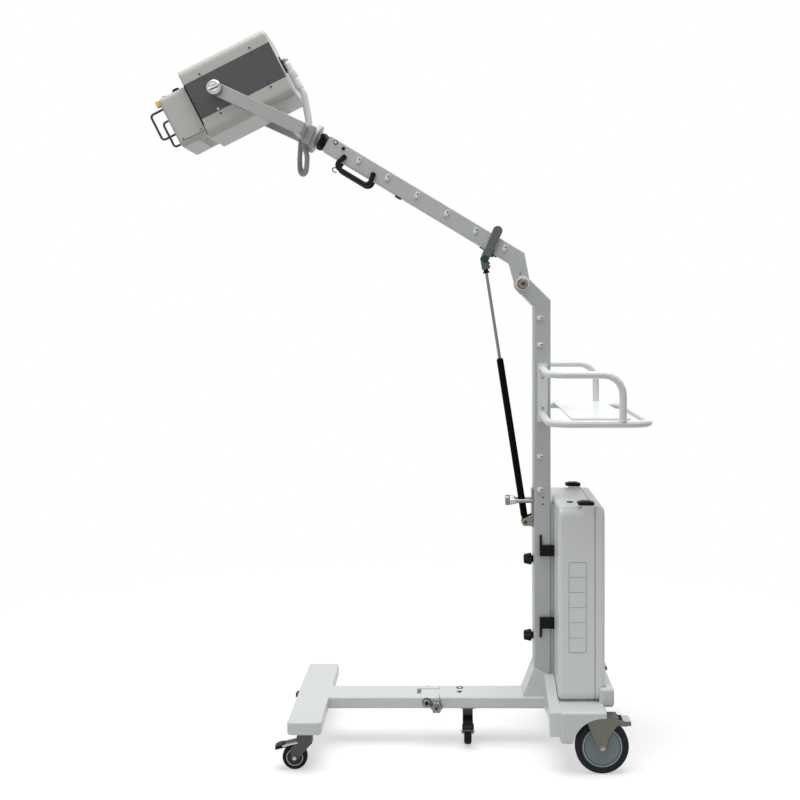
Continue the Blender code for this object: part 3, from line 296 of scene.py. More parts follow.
# %% [markdown]
# Several effects turn up on more than one surface: the orange peel of powder coat, edges lightened by a
# painted highlight with some rub, the lines of machined metal, the grain of moulded plastic. They could be
# copied into each material, but a node group is built once and placed with its own values. A group only
# hands out colours, masks and heights. The shader itself stays in each material.

# %% Group helpers
def node_group(name, inputs, outputs):
    """An empty shader group. Inputs are (name, kind, value) and outputs (name, kind)."""
    group = bpy.data.node_groups.new(name, "ShaderNodeTree")
    kinds = {"value": "NodeSocketFloat", "colour": "NodeSocketColor"}
    for label, kind, value in inputs:
        socket = group.interface.new_socket(label, in_out="INPUT", socket_type=kinds[kind])
        socket.default_value = value
    for label, kind in outputs:
        group.interface.new_socket(label, in_out="OUTPUT", socket_type=kinds[kind])
    return group, group.nodes.new("NodeGroupInput"), group.nodes.new("NodeGroupOutput")


def noise(tree, scale, detail, where=None):
    """Cloudy noise between 0 and 1, in the object's own coordinates unless told otherwise."""
    node = add_node(tree, "TexNoise", Detail=detail)
    fill(tree, node.inputs["Scale"], scale)
    if where is None:
        where = add_node(tree, "TexCoord").outputs["Object"]
    fill(tree, node.inputs["Vector"], where)
    return node.outputs["Fac"]


def blended(tree, share, a, b):
    """A colour between a and b, each a colour or a socket."""
    node = add_node(tree, "Mix")
    node.data_type = "RGBA"
    tree.links.new(share, node.inputs["Factor"])
    for index, value in ((6, a), (7, b)):
        if isinstance(value, tuple):
            node.inputs[index].default_value = (*value, 1)
        else:
            tree.links.new(value, node.inputs[index])
    return node.outputs[2]


print("group helpers ready")

# %% [markdown]
# Powder coat is never one flat colour. It clouds a little over a hand's width, and close up it has the
# bumps of an orange's skin. A painted picture could show that, but noise in the object's own coordinates
# needs no unwrapping and has no seams.

# %% Coat group
def coat_group():
    group, given, made = node_group(
        "coat_surface",
        [("Colour", "colour", (0.7, 0.7, 0.7, 1)), ("Shade", "colour", (0.6, 0.6, 0.6, 1)),
         ("Peel Scale", "value", 900.0)],
        [("Colour", "colour"), ("Gloss", "value"), ("Height", "value")],
    )
    cloud = maths(group, "MULTIPLY", maths(group, "SUBTRACT", noise(group, 4.5, 4), 0.35), 1.5)
    speck = noise(group, 60.0, 2)
    clamp = add_node(group, "Clamp")
    wire(group, (maths(group, "ADD", cloud, maths(group, "MULTIPLY", speck, 0.25)), clamp.inputs["Value"]))
    colour = blended(group, clamp.outputs[0], given.outputs["Colour"], given.outputs["Shade"])
    gloss = maths(group, "MULTIPLY", maths(group, "SUBTRACT", speck, 0.5), 0.16)
    peel = noise(group, given.outputs["Peel Scale"], 3)
    wire(group, (colour, made.inputs["Colour"]), (gloss, made.inputs["Gloss"]), (peel, made.inputs["Height"]))
    return group


COAT = coat_group()
print("group", COAT.name)

# %% [markdown]
# Hands and door frames rub the paint on every corner, and a pale corner catches a highlight. Both are
# painted here as a lighter colour along the edges: a painted edge highlight with some rub. The corners could
# be painted by hand, but a rounded normal differs from the true one only near an edge, whatever the mesh is
# like. That difference is the mask, and noise breaks it up so that no edge is lit or rubbed evenly.

# %% Edge group
def edge_light_rub_group():
    group, given, made = node_group("edge_highlight_and_rub", [("Amount", "value", 0.5)], [("Mask", "value")])
    # The mask lightens the paint along edges: a painted edge highlight, with some rubbed wear.
    bevel = add_node(group, "Bevel", Radius=0.0020)
    bevel.samples = 4
    shape = add_node(group, "NewGeometry")
    alike = add_node(group, "VectorMath")
    alike.operation = "DOT_PRODUCT"
    sharp = add_node(group, "MapRange", From_Min=0.015, From_Max=0.16)
    wire(group, (bevel.outputs[0], alike.inputs[0]), (shape.outputs["Normal"], alike.inputs[1]),
         (maths(group, "SUBTRACT", 1.0, alike.outputs["Value"]), sharp.inputs["Value"]))
    broken = maths(group, "GREATER_THAN", noise(group, 38.0, 6), 0.44)
    lit_and_rubbed = maths(group, "MULTIPLY", sharp.outputs[0], broken)
    wire(group, (maths(group, "MULTIPLY", lit_and_rubbed, given.outputs["Amount"]), made.inputs["Mask"]))
    return group


EDGE_LIGHT_RUB = edge_light_rub_group()
print("group", EDGE_LIGHT_RUB.name)

# %% [markdown]
# A turned or brushed part has fine lines that break up its highlights: noise that is drawn out along one
# axis. Moulded plastic and rubber have leathery cells instead, and they hold dust where they face up.

# %% Lines and grain groups
def lines_group():
    group, given, made = node_group(
        "tool_lines", [("Scale", "value", 300.0), ("Stretch", "value", 0.04)],
        [("Lines", "value"), ("Height", "value")],
    )
    where = add_node(group, "TexCoord")
    split = add_node(group, "SeparateXYZ")
    joined = add_node(group, "CombineXYZ")
    wire(group, (where.outputs["Object"], split.inputs[0]), (split.outputs[0], joined.inputs[0]),
         (maths(group, "MULTIPLY", split.outputs[1], given.outputs["Stretch"]), joined.inputs[1]),
         (split.outputs[2], joined.inputs[2]))
    lines = noise(group, given.outputs["Scale"], 4, joined.outputs[0])
    wire(group, (lines, made.inputs["Lines"]), (lines, made.inputs["Height"]))
    return group


def grain_group():
    group, given, made = node_group(
        "moulded_grain", [("Scale", "value", 700.0)], [("Grain", "value"), ("Dust", "value")]
    )
    cells = add_node(group, "TexVoronoi")
    where = add_node(group, "TexCoord")
    shape = add_node(group, "NewGeometry")
    split = add_node(group, "SeparateXYZ")
    wire(group, (where.outputs["Object"], cells.inputs["Vector"]),
         (given.outputs["Scale"], cells.inputs["Scale"]),
         (cells.outputs["Distance"], made.inputs["Grain"]), (shape.outputs["Normal"], split.inputs[0]))
    up = maths(group, "MAXIMUM", split.outputs[2], 0.0)
    wire(group, (maths(group, "MULTIPLY", up, noise(group, 25.0, 5)), made.inputs["Dust"]))
    return group


LINES, GRAIN = lines_group(), grain_group()
print("groups", LINES.name, GRAIN.name)

# %% [markdown]
# Every material is a Principled shader with these groups in front of it. A plain colour would look like a
# computer's. Paint varies a little in colour and gloss and goes lighter at its edges, as a painted highlight
# with some rub; plastic holds dust, and metal has lines. One builder for each kind keeps the finishes of a
# kind alike.

# %% Material builders
GREY_DUST, DARK_DUST = (0.30, 0.30, 0.29), (0.10, 0.10, 0.10)
SHADE, PEEL_DEPTH = 0.94, 0.12


def start_material(name, colour, roughness, metallic=0.0):
    look = bpy.data.materials.new(name)
    look.use_nodes = True
    shader = look.node_tree.nodes["Principled BSDF"]
    shader.inputs["Base Color"].default_value = (*colour, 1)
    shader.inputs["Roughness"].default_value = roughness
    shader.inputs["Metallic"].default_value = metallic
    look.diffuse_color = (*colour, 1)
    return look, look.node_tree, shader


def placed(tree, group, **values):
    node = tree.nodes.new("ShaderNodeGroup")
    node.node_tree = group
    for label, value in values.items():
        node.inputs[label.replace("_", " ")].default_value = value
    return node.outputs


def finished(tree, shader, colour, roughness, height, depth):
    """Wires colour, roughness and the height of a bump to the shader."""
    bump = add_node(tree, "Bump", Strength=depth, Distance=0.0003)
    wire(tree, (colour, shader.inputs["Base Color"]), (height, bump.inputs["Height"]),
         (bump.outputs["Normal"], shader.inputs["Normal"]))
    if roughness is not None:
        tree.links.new(roughness, shader.inputs["Roughness"])


def painted(name, colour, roughness=0.42, highlight_rub=0.35, peel=900.0, highlight_rub_colour=(0.86, 0.86, 0.85), coat_weight=0.10):
    look, tree, shader = start_material(name, colour, roughness)
    shade = (*(v * SHADE for v in colour), 1)
    coat = placed(tree, COAT, Colour=(*colour, 1), Shade=shade, Peel_Scale=peel)
    edge = placed(tree, EDGE_LIGHT_RUB, Amount=highlight_rub)
    # Edges blend towards a lighter colour: a painted edge highlight, with some rubbed wear.
    tint = blended(tree, edge["Mask"], coat["Colour"], highlight_rub_colour)
    shader.inputs["Coat Weight"].default_value = coat_weight
    shader.inputs["Coat Roughness"].default_value = 0.3
    finished(tree, shader, tint, maths(tree, "ADD", coat["Gloss"], roughness), coat["Height"], PEEL_DEPTH)
    return look


def moulded(name, colour, roughness=0.5, dusty=0.10, scale=900.0, depth=0.25, shine=0.3, dust=GREY_DUST):
    look, tree, shader = start_material(name, colour, roughness)
    shader.inputs["Specular IOR Level"].default_value = shine
    grain = placed(tree, GRAIN, Scale=scale)
    tint = blended(tree, maths(tree, "MULTIPLY", grain["Dust"], dusty), colour, dust)
    rough = maths(tree, "ADD", maths(tree, "MULTIPLY", grain["Grain"], 0.14), roughness - 0.05)
    finished(tree, shader, tint, rough, grain["Grain"], depth)
    return look


def machined(name, colour, roughness=0.3, scale=500.0, stretch=0.04, depth=0.12, dark=0.75):
    look, tree, shader = start_material(name, colour, roughness, 1.0)
    lines = placed(tree, LINES, Scale=scale, Stretch=stretch)
    tint = blended(tree, lines["Lines"], tuple(v * dark for v in colour), colour)
    rough = maths(tree, "ADD", maths(tree, "MULTIPLY", lines["Lines"], 0.2), roughness - 0.1)
    finished(tree, shader, tint, rough, lines["Height"], depth)
    return look


def window_glass():
    look, tree, shader = start_material("window_glass", (0.75, 0.80, 0.80), 0.06)
    shader.inputs["Transmission Weight"].default_value = 0.85
    shader.inputs["IOR"].default_value = 1.49
    smear = placed(tree, COAT, Colour=(0.75, 0.80, 0.80, 1), Shade=(0.70, 0.75, 0.75, 1), Peel_Scale=40.0)
    finished(tree, shader, smear["Colour"], None, smear["Height"], 0.02)
    return look


print("material builders ready")

# %% [markdown]
# The paints of the head, arm, boom, mast and base differ a little from each other, as separately coated
# parts do. One paint for all would be simpler, but the machine would look cast in one piece. Each colour was
# set against the photograph, and is written as it should render under plain light.

# %% Paints
HEAD_PAINT = painted("head_paint", (0.53, 0.54, 0.505))
BASE_PAINT = painted("base_paint", (0.675, 0.705, 0.69), 0.38)
MAST_PAINT = painted("mast_paint", (0.50, 0.525, 0.51))
BOOM_PAINT = painted("boom_paint", (0.55, 0.575, 0.56))
CASE_PAINT = painted("case_paint", (0.79, 0.82, 0.805), 0.36)
ARM_PAINT = painted("arm_paint", (0.47, 0.48, 0.47))
RAIL_PAINT = painted("rail_paint", (0.78, 0.81, 0.80), 0.32, highlight_rub=0.5)
# The panel's lighter edge colour is a painted edge highlight on black paint, with some rub.
PANEL_PAINT = painted("panel_paint", (0.058, 0.058, 0.064), 0.5, 0.2, highlight_rub_colour=(0.30, 0.30, 0.31),
                      coat_weight=0.02)
LABEL_FILM = painted("label_film", (0.79, 0.82, 0.805), 0.30, highlight_rub=0.0, peel=400.0)
print(len(bpy.data.materials), "materials with the paints")

# %% [markdown]
# Handles, latches, clips, tyres, cords and the strut's barrel are plastic or rubber. Black plastic mirrors
# a pale room strongly and would render grey, so the darkest ones have a low shine.

# %% Plastics and rubber
BLACK = moulded("black_moulding", (0.007, 0.007, 0.008), 0.42, 0.03, shine=0.12)
SATIN_BLACK = moulded("black_barrel", (0.002, 0.002, 0.003), 0.34, 0.005, 1500.0, 0.08, 0.04)
LEVER_GREY = moulded("lever_grey", (0.150, 0.165, 0.172), 0.42, 0.08, shine=0.2)
BAIL_GREY = moulded("bail_grey", (0.065, 0.068, 0.072), 0.38, 0.06, 1200.0, 0.08, 0.25)
HUB_GREEN = moulded("lever_hub_green", (0.020, 0.070, 0.024), 0.4, 0.03, shine=0.15)
CAST_GREY = moulded("cast_grey", (0.20, 0.205, 0.205), 0.45, shine=0.25)
GLAND_GREY = moulded("gland_grey", (0.34, 0.345, 0.34), 0.45)
TYRE = moulded("tyre_rubber", (0.016, 0.020, 0.025), 0.62, 0.18, 500.0, 0.35, 0.15, DARK_DUST)
CASTER_TYRE = moulded("caster_rubber", (0.010, 0.010, 0.011), 0.58, 0.15, 600.0, 0.35, 0.12, DARK_DUST)
DISC_GREY = moulded("wheel_disc_grey", (0.190, 0.235, 0.245), 0.45, 0.12, 800.0, 0.12)
# A darker copy of the disc's grey: painted shade for the groove in the rear wheels' discs.
DISC_GROOVE_SHADE = moulded("wheel_groove_painted_shade", (0.055, 0.070, 0.078), 0.45, 0.10, 800.0, 0.12, 0.2)
RING_GREY = moulded("wheel_ring_pale", (0.52, 0.56, 0.57), 0.35, 0.08, 800.0, 0.08)
HUB_BROWN = moulded("caster_hub_brown", (0.048, 0.040, 0.034), shine=0.2)
CLIP_WHITE = moulded("clip_white", (0.86, 0.87, 0.86), 0.36, 0.02, 1200.0, 0.06, 0.4)
SHEATH_WHITE = moulded("sheath_white", (0.80, 0.81, 0.83), 0.38, 0.04, 1400.0, 0.08, 0.4)
HOSE_GREY = moulded("hose_grey", (0.40, 0.40, 0.385), dusty=0.18, depth=0.15)
SEAL = moulded("seam_seal", (0.016, 0.017, 0.018), 0.6, 0.04, shine=0.12)
INK = moulded("label_ink", (0.11, 0.115, 0.115), 0.45, 0.02, 1600.0, 0.04, 0.2)
MARK_INK = moulded("mark_ink", (0.020, 0.022, 0.022), 0.45, 0.02, 1600.0, 0.04, 0.15)
print(len(bpy.data.materials), "materials with the plastics")

# %% [markdown]
# Bolts, knobs, forks and washers are bare metal, from chrome to bronze. A metal's colour is what it mirrors,
# so steels are written darker than they seem in the hand. The collimator's window is the only glass.

# %% Metals and glass
FORK_STEEL = machined("fork_steel", (0.150, 0.150, 0.128), 0.50, 220.0, 0.3, 0.10)
CASTER_STEEL = machined("caster_fork_steel", (0.085, 0.083, 0.080), 0.42, 260.0, 0.3, 0.10, 0.65)
KNOB_METAL = machined("knob_aluminium", (0.50, 0.50, 0.49), 0.30, 420.0, 0.05, 0.10, 0.65)
BOLT_STEEL = machined("bolt_steel", (0.36, 0.36, 0.345), 0.30, 700.0, 0.6, 0.08, 0.6)
BRACKET_STEEL = machined("bracket_steel", (0.27, 0.265, 0.255), 0.28, 300.0, 0.1, 0.08, 0.45)
DARK_STEEL = machined("dark_steel", (0.070, 0.067, 0.064), 0.40, 900.0, 0.6, 0.08)
ROD_CHROME = machined("rod_chrome", (0.25, 0.255, 0.265), 0.20, 260.0, 0.02, 0.03, 0.5)
LAMP_GOLD = machined("aiming_lamp_gold", (0.40, 0.30, 0.055), 0.36, 800.0, 0.5, 0.06)
BRONZE = machined("bronze_washer", (0.26, 0.13, 0.05), 0.38, 600.0, 0.5, 0.06, 0.7)
OLIVE_BRASS = machined("olive_brass", (0.30, 0.30, 0.14), 0.36, 600.0, 0.5, 0.06, 0.7)
WINDOW = window_glass()
print(len(bpy.data.materials), "materials in all")

# %% [markdown]
# A library part can be repainted, so a table gives each finish one of the part's colour slots.
# The slot goes with the finish: whatever is made of steel is in the steel slot. Two pieces name a slot of
# their own where they are made. A piece looks its slot up, but does not keep it.

# %% Colour slots
SLOTS = (
    ("white_paint", (HEAD_PAINT, MAST_PAINT, RAIL_PAINT, LABEL_FILM)),
    ("cable_white", (SHEATH_WHITE, CLIP_WHITE)),
    ("black_plastic", (BLACK, SEAL, WINDOW)),
    ("grey_lever", (GLAND_GREY, BAIL_GREY, CAST_GREY, HUB_GREEN)),
    ("wheel_grey", (DISC_GREY, DISC_GROOVE_SHADE, RING_GREY, HUB_BROWN)),
    ("tyre", (TYRE, CASTER_TYRE)),
    ("dark_panel", (INK, MARK_INK)),
    ("hose_grey", (HOSE_GREY,)),
    ("caster_steel", (CASTER_STEEL,)),
    ("steel", (KNOB_METAL, BOLT_STEEL, BRACKET_STEEL, DARK_STEEL, ROD_CHROME, LAMP_GOLD, BRONZE,
               OLIVE_BRASS)),
)
SLOT_OF = {look.name: slot for slot, looks in SLOTS for look in looks}
print(len(SLOT_OF), "finishes in", len(SLOTS), "vent_shade")

# %% [markdown]
# The CAD pieces that already have the right shape stay as they are. Their shape could be built again here,
# but a finish on each is enough. A table says which pieces wear which.

# %% Dress the CAD pieces
DRESSED = (
    (BASE_PAINT, "rear_chassis front_leg"),
    (MAST_PAINT, "mast"),
    (BOOM_PAINT, "boom"),
    (ARM_PAINT, "yoke"),
    (CASE_PAINT, "case_shell case_lid"),
    (RAIL_PAINT, "handrail tray_plate"),
    (HEAD_PAINT, "head_housing collimator"),
    (PANEL_PAINT, "head_side_panel_near head_side_panel_far"),
    (SEAL, "collimator_neck"),
    (BAIL_GREY, "collimator_bail_near collimator_bail_far"),
    (KNOB_METAL, "tilt_knob_near tilt_knob_far"),
    (LEVER_GREY, "strut_lever"),
    (SATIN_BLACK, "strut_barrel"),
    (BRACKET_STEEL, "strut_bracket pivot_bolt"),
    (DARK_STEEL, "fold_bolt eye_bracket"),
    (FORK_STEEL, "rear_fork_near rear_fork_far"),
    (SHEATH_WHITE, "head_plug"),
    (BLACK, "head_socket swivel_clamp boom_handle_near boom_handle_far case_latch_near case_latch_far"),
    (BLACK, "case_bracket_upper_near case_bracket_upper_far case_bracket_lower_near case_bracket_lower_far"),
    (CASTER_STEEL, "front_caster_near_plate front_caster_far_plate mid_caster_plate"),
    (CASTER_STEEL, "front_caster_near_fork front_caster_far_fork mid_caster_fork"),
)
for look, names in DRESSED:
    for name in names.split():
        for held in NODES[name].material_slots:
            held.material = look
print(sum(len(names.split()) for look, names in DRESSED), "CAD pieces dressed")

# %% [markdown]
# Small parts come from a few basic shapes in mesh code: a turned shape for screws, knobs and wheels, an
# extruded outline for plates, and a pipe along a path. They could be modelled one by one with the mouse,
# but a shape that is made from numbers can be made again. Each is built at its own origin.

# %% Turned shapes
def lathe(rows, sides=28, closed=False, lobes=0, depth=0.0):
    """Turns (radius, height) rows round Z. With lobes, the radius rises and falls round the turn."""
    bm = bmesh.new()
    rings = []
    for radius, height in rows:
        if radius < 1e-6:
            rings.append([bm.verts.new((0, 0, height))])
            continue
        ring = []
        for i in range(sides):
            angle = 2 * math.pi * i / sides
            size = radius * (1 - depth * (0.5 - 0.5 * math.cos(lobes * angle)) ** 2)
            ring.append(bm.verts.new((size * math.cos(angle), size * math.sin(angle), height)))
        rings.append(ring)
    pairs = list(zip(rings, rings[1:]))
    if closed:
        pairs.append((rings[-1], rings[0]))
    for low, high in pairs:
        for i in range(sides):
            j = (i + 1) % sides
            corners = [low[i % len(low)], low[j % len(low)], high[j % len(high)], high[i % len(high)]]
            bm.faces.new(list(dict.fromkeys(corners)))
    if not closed:
        for ring in (rings[0], rings[-1]):
            if len(ring) > 2:
                bm.faces.new(ring)
    bmesh.ops.recalc_face_normals(bm, faces=bm.faces)
    return bm


def ring_shape(inner, outer, height, edge=0.0004, sides=32):
    """A flat ring with a softened outer edge, standing on z = 0."""
    return lathe([(inner, 0), (outer, 0), (outer, height - edge), (outer - edge, height), (inner, height)],
                 sides, closed=True)


print("turned shapes ready")

# %% [markdown]
# Plates, tabs, nuts and blocks are outlines that were cut and given a thickness. A bevel modifier could
# soften their edges, but it stays open in the object, and a bevel in the mesh is done once and for all.

# %% Extruded shapes
def slab(outline, low, high, edge=0.0, steps=2):
    """Extrudes an outline in X and Y from low to high in Z, with softened edges."""
    bm = bmesh.new()
    bottom = [bm.verts.new((x, y, low)) for x, y in outline]
    top = [bm.verts.new((x, y, high)) for x, y in outline]
    bm.faces.new(bottom[::-1])
    bm.faces.new(top)
    for i in range(len(outline)):
        j = (i + 1) % len(outline)
        bm.faces.new([bottom[i], bottom[j], top[j], top[i]])
    if edge:
        rims = [e for e in bm.edges if abs(e.verts[0].co.z - e.verts[1].co.z) < 1e-7]
        bmesh.ops.bevel(bm, geom=rims, offset=edge, segments=steps, profile=0.5, affect="EDGES")
    bmesh.ops.recalc_face_normals(bm, faces=bm.faces)
    return bm


def round_rect(width, height, corner, steps=5):
    points = []
    for sx, sy, start in ((1, -1, -90), (1, 1, 0), (-1, 1, 90), (-1, -1, 180)):
        for i in range(steps + 1):
            angle = math.radians(start + 90 * i / steps)
            points.append((sx * (width / 2 - corner) + corner * math.cos(angle),
                           sy * (height / 2 - corner) + corner * math.sin(angle)))
    return points


def hexagon(across):
    """A nut's outline, given its width across flats."""
    radius = across / math.sqrt(3)
    turns = [math.radians(60 * i) for i in range(6)]
    return [(radius * math.cos(turn), radius * math.sin(turn)) for turn in turns]


print("extruded shapes ready")

# %% [markdown]
# Cords, wire, seams and seals are one round section along a path. At each point the ring is turned only as
# far as the path bends, so the pipe never twists. A curve with a bevel would do it too, but its radius can't
# follow a formula, and the hose needs that.

# %% Pipes
def pipe(points, radius, sides=16, closed=False):
    """A round bar along a path. The radius is a number or a function of the share of the way along."""
    points = [Vector(p) for p in points]
    bm = bmesh.new()
    rings, across, count = [], None, len(points)
    for i, point in enumerate(points):
        if closed:
            along = (points[(i + 1) % count] - points[i - 1]).normalized()
        else:
            along = (points[min(i + 1, count - 1)] - points[max(i - 1, 0)]).normalized()
        across = along.orthogonal() if across is None else across - along * across.dot(along)
        across.normalize()
        other = along.cross(across)
        size = radius(i / (count - 1)) if callable(radius) else radius
        rings.append([bm.verts.new(point + size * (across * math.cos(a) + other * math.sin(a)))
                      for a in (2 * math.pi * k / sides for k in range(sides))])
    pairs = list(zip(rings, rings[1:]))
    if closed:
        pairs.append((rings[-1], rings[0]))
    for low, high in pairs:
        for k in range(sides):
            j = (k + 1) % sides
            bm.faces.new([low[k], low[j], high[j], high[k]])
    if not closed:
        bm.faces.new(rings[0][::-1])
        bm.faces.new(rings[-1])
    bmesh.ops.recalc_face_normals(bm, faces=bm.faces)
    return bm


print("pipes ready")

# %% [markdown]
# A shape becomes a piece when it gets its place, its finish and the body it rides on. The place is a matrix,
# so a screw on the tilted head uses the same code as one on the upright mast. Faces that meet at a small
# angle are shaded as one, which is how a turned edge looks on the bench.

# %% Pieces
def put_together(parts):
    """One bmesh from (bmesh, matrix) pairs."""
    whole = bmesh.new()
    for bm, matrix in parts:
        bmesh.ops.transform(bm, matrix=matrix, verts=bm.verts)
        mesh = bpy.data.meshes.new("part")
        bm.to_mesh(mesh)
        bm.free()
        whole.from_mesh(mesh)
        bpy.data.meshes.remove(mesh)
    return whole


def piece(name, shape, look, body, matrix=UP, smooth=35, instead_of=(), slot=None):
    """A finished piece in its place, riding on a body. A shape is one bmesh or (bmesh, matrix) pairs."""
    bm = put_together(shape) if isinstance(shape, list) else shape
    bmesh.ops.transform(bm, matrix=matrix, verts=bm.verts)
    mesh = bpy.data.meshes.new(name)
    bm.to_mesh(mesh)
    bm.free()
    mesh.shade_smooth()
    mesh.set_sharp_from_angle(angle=math.radians(smooth))
    mesh.materials.append(look)
    made = bpy.data.objects.new(name, mesh)
    scene.collection.objects.link(made)
    if body:
        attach(made, body)
    if slot is None:
        slot = SLOT_OF[look.name]
    if instead_of:
        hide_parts(*instead_of)
    return made


print("pieces ready")

# %% [markdown]
# The machine is held together by dozens of small screws with a round drive. A screw could be a dark dot
# painted on the panel, but a real head catches the light on its rim. All the screws of one panel are one
# piece, which keeps the list of pieces short. They stand off by a tenth of a millimetre, so that no two
# faces lie in one plane.

# %% Screws
FLUSH = 0.0001


def screw_shape(radius, height):
    """A domed head with a round drive hole."""
    return lathe([
        (0, 0.30 * height), (0.42 * radius, 0.30 * height), (0.45 * radius, 0.95 * height),
        (0.75 * radius, height), (0.94 * radius, 0.75 * height), (radius, 0.25 * height), (radius, 0), (0, 0),
    ], 18)


def screws(name, matrix, spots, radius, look, body, height=0.002, direction=(0, -1, 0)):
    """Several screws of one panel as one piece. The spots are (x, y, z) in a frame."""
    parts = [(screw_shape(radius, height), facing(matrix, spot, direction)) for spot in spots]
    piece(name, parts, look, body)


print("screws ready")

# %% [markdown]
# A cable or hose lies on one smooth curve. A curve object could draw it, but then its length would only be
# known afterwards. Here a smooth route is worked out through a few measured points, its length is summed,
# and it is cut into steps of equal length.

# %% Smooth route through points
FINE_STEPS = 30


def smooth_route(points, spacing):
    """Evenly spaced points on a smooth curve through the given ones, and the curve's length."""
    spots = [Vector(p) for p in points]
    ends = [2 * spots[0] - spots[1]] + spots + [2 * spots[-1] - spots[-2]]
    fine = []
    for a, b, c, d in zip(ends, ends[1:], ends[2:], ends[3:]):
        for i in range(FINE_STEPS):
            t = i / FINE_STEPS
            bend = (2 * a - 5 * b + 4 * c - d) * t * t + (3 * b - a - 3 * c + d) * t ** 3
            fine.append(0.5 * (2 * b + (c - a) * t + bend))
    fine.append(spots[-1])
    length = sum((q - p).length for p, q in zip(fine, fine[1:]))
    count = max(2, round(length / spacing))
    kept, gone, want = [fine[0]], 0.0, length / count
    for p, q in zip(fine, fine[1:]):
        run = (q - p).length
        while gone + run >= want and len(kept) < count:
            kept.append(p.lerp(q, (want - gone) / run))
            want += length / count
        gone += run
    return kept + [fine[-1]], length


print("route helper ready")

# %% [markdown]
# The white sheath carries the tube's cable from the plug on the head down to the yoke's base, across the
# tilt joint. A stiff pipe would tear away from one of them when the head turns. Here it is one pipe along a
# smooth route between them, and rides on neither body.

# %% Head cable
BASE_MID, BASE_HALF, HUB_MID, HUB_HALF = -0.0535, 0.021, -0.031, 0.031
SHEATH_R, SHEATH_GAP, SHEATH_STRAIGHT, SHEATH_BULGE = 0.0113, 0.0004, 0.018, 0.009
HEAD_LOW, HEAD_HIGH = local_box("head_housing", HEAD)
PLUG_TOP = Vector((HEAD_HIGH.x + 0.0142, 0, 0.024))
PLUG_WAY = Vector((0.034, 0, -1)).normalized()
PLUG_LENGTH = 0.115
LIFT = SWIVEL.to_3x3() @ Vector((0, 0, 1))


def head_cable():
    start = HEAD @ (PLUG_TOP + PLUG_WAY * (PLUG_LENGTH + SHEATH_GAP))
    end = SWIVEL @ Vector((BASE_MID, 0, BASE_HALF + SHEATH_GAP))
    out = start + HEAD.to_3x3() @ PLUG_WAY * SHEATH_STRAIGHT
    bulge = (start + end) / 2 + Vector((SHEATH_BULGE, 0, 0))
    path, length = smooth_route([start, out, bulge, end + LIFT * SHEATH_STRAIGHT, end], 0.004)
    sheath = piece("head_cable_sheath", pipe(path, SHEATH_R, 24), SHEATH_WHITE, None,
                   instead_of=("head_cable",))
    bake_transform(sheath)
    return length


print("head cable", round(head_cable(), 3), "m")

# %% [markdown]
# The grey hose hangs in a narrow loop under the yoke's base, with both ends in plain glands on the same
# body. Its rings could be a bump in the material, but then its outline would be smooth. Here the pipe's
# radius rises and falls along the way, which is real geometry.

# %% Corrugated hose
HOSE_R, HOSE_WAVE, HOSE_PITCH, STEPS_PER_RING = 0.0080, 0.0013, 0.0060, 6
HOSE_HALF, HOSE_HANG, HOSE_STRAIGHT, GLAND_GAP = 0.022, 0.1008, 0.007, 0.0006
LOOP_HALF, LOOP_SPREAD = 0.0145, 0.003
LEG_POINTS = ((1, 1, 0.058), (1, 1, 0.030), (0.72, 0.70, 0.009))


def corrugated_hose():
    left = SWIVEL @ Vector((BASE_MID, HOSE_HALF, -BASE_HALF - GLAND_GAP))
    right = SWIVEL @ Vector((HUB_MID, -HOSE_HALF, -HUB_HALF - GLAND_GAP))
    low = Vector(((left.x + right.x) / 2, 0, (left.z + right.z) / 2 - HOSE_HANG))
    leg = [Vector((LOOP_HALF * a, -(HOSE_HALF + LOOP_SPREAD) * b, c)) for a, b, c in LEG_POINTS]
    down = [low + Vector((-p.x, -p.y, p.z)) for p in leg]
    back_up = [low + p for p in reversed(leg)]
    route = [left, left - LIFT * HOSE_STRAIGHT, *down, low, *back_up, right - LIFT * HOSE_STRAIGHT, right]
    path, length = smooth_route(route, HOSE_PITCH / STEPS_PER_RING)
    waves = round(length / HOSE_PITCH)
    shape = pipe(path, lambda share: HOSE_R + HOSE_WAVE * math.cos(2 * math.pi * waves * share), 24)
    piece("corrugated_hose", shape, HOSE_GREY, "yoke", smooth=60, instead_of=("hose_loop",))
    for name, spot in (("left", left), ("right", right)):
        gland = ring_shape(0.0093, 0.0135, 0.007, 0.0012)
        piece(f"hose_gland_{name}", gland, GLAND_GREY, "yoke", facing(UP, spot, -LIFT))
    return length, waves


hose_length, hose_rings = corrugated_hose()
print("hose", round(hose_length, 3), "m with", hose_rings, "rings")

# %% [markdown]
# The head's two side panels are held by small screws, some on the dark stripe and some on the pale shell
# beside it, and one white stud. Their places are read off the photograph and given from the tilt axis, as
# (along, up) on the panel. One table then sets both sides.

# %% Head screws
SHELL_SCREWS = ((-0.0252, 0.0661), (0.1496, 0.0690), (0.1541, -0.0690), (-0.0209, -0.0713))
STRIPE_SCREWS = ((-0.0190, 0.0490), (0.1496, 0.0500), (0.1511, -0.0543), (-0.0030, -0.0380),
                 (-0.0790, -0.0080))
STUD = ((-0.0219, -0.0560),)
HEAD_FASTENERS = (
    ("head_screws", SHELL_SCREWS, 0.0032, DARK_STEEL, 0.002),
    ("stripe_screws", STRIPE_SCREWS, 0.0026, DARK_STEEL, 0.002),
    ("stripe_stud", STUD, 0.0042, CLIP_WHITE, 0.003),
)
HEAD_FLANK = -HEAD_LOW.y + FLUSH
for side, sign in SIDES:
    for name, spots, radius, look, height in HEAD_FASTENERS:
        places = [(u, sign * HEAD_FLANK, v) for u, v in spots]
        screws(f"{name}_{side}", HEAD, places, radius, look, "head", height, (0, sign, 0))
print("head screws placed")

# %% [markdown]
# The two tilt knobs are round aluminium caps with a grip bar milled across a dished face. The dish could be
# cut into the CAD cap, but a raised rim and bar with dark troughs beside it catch the light in the same
# bright half-moons, and the CAD stays simple.

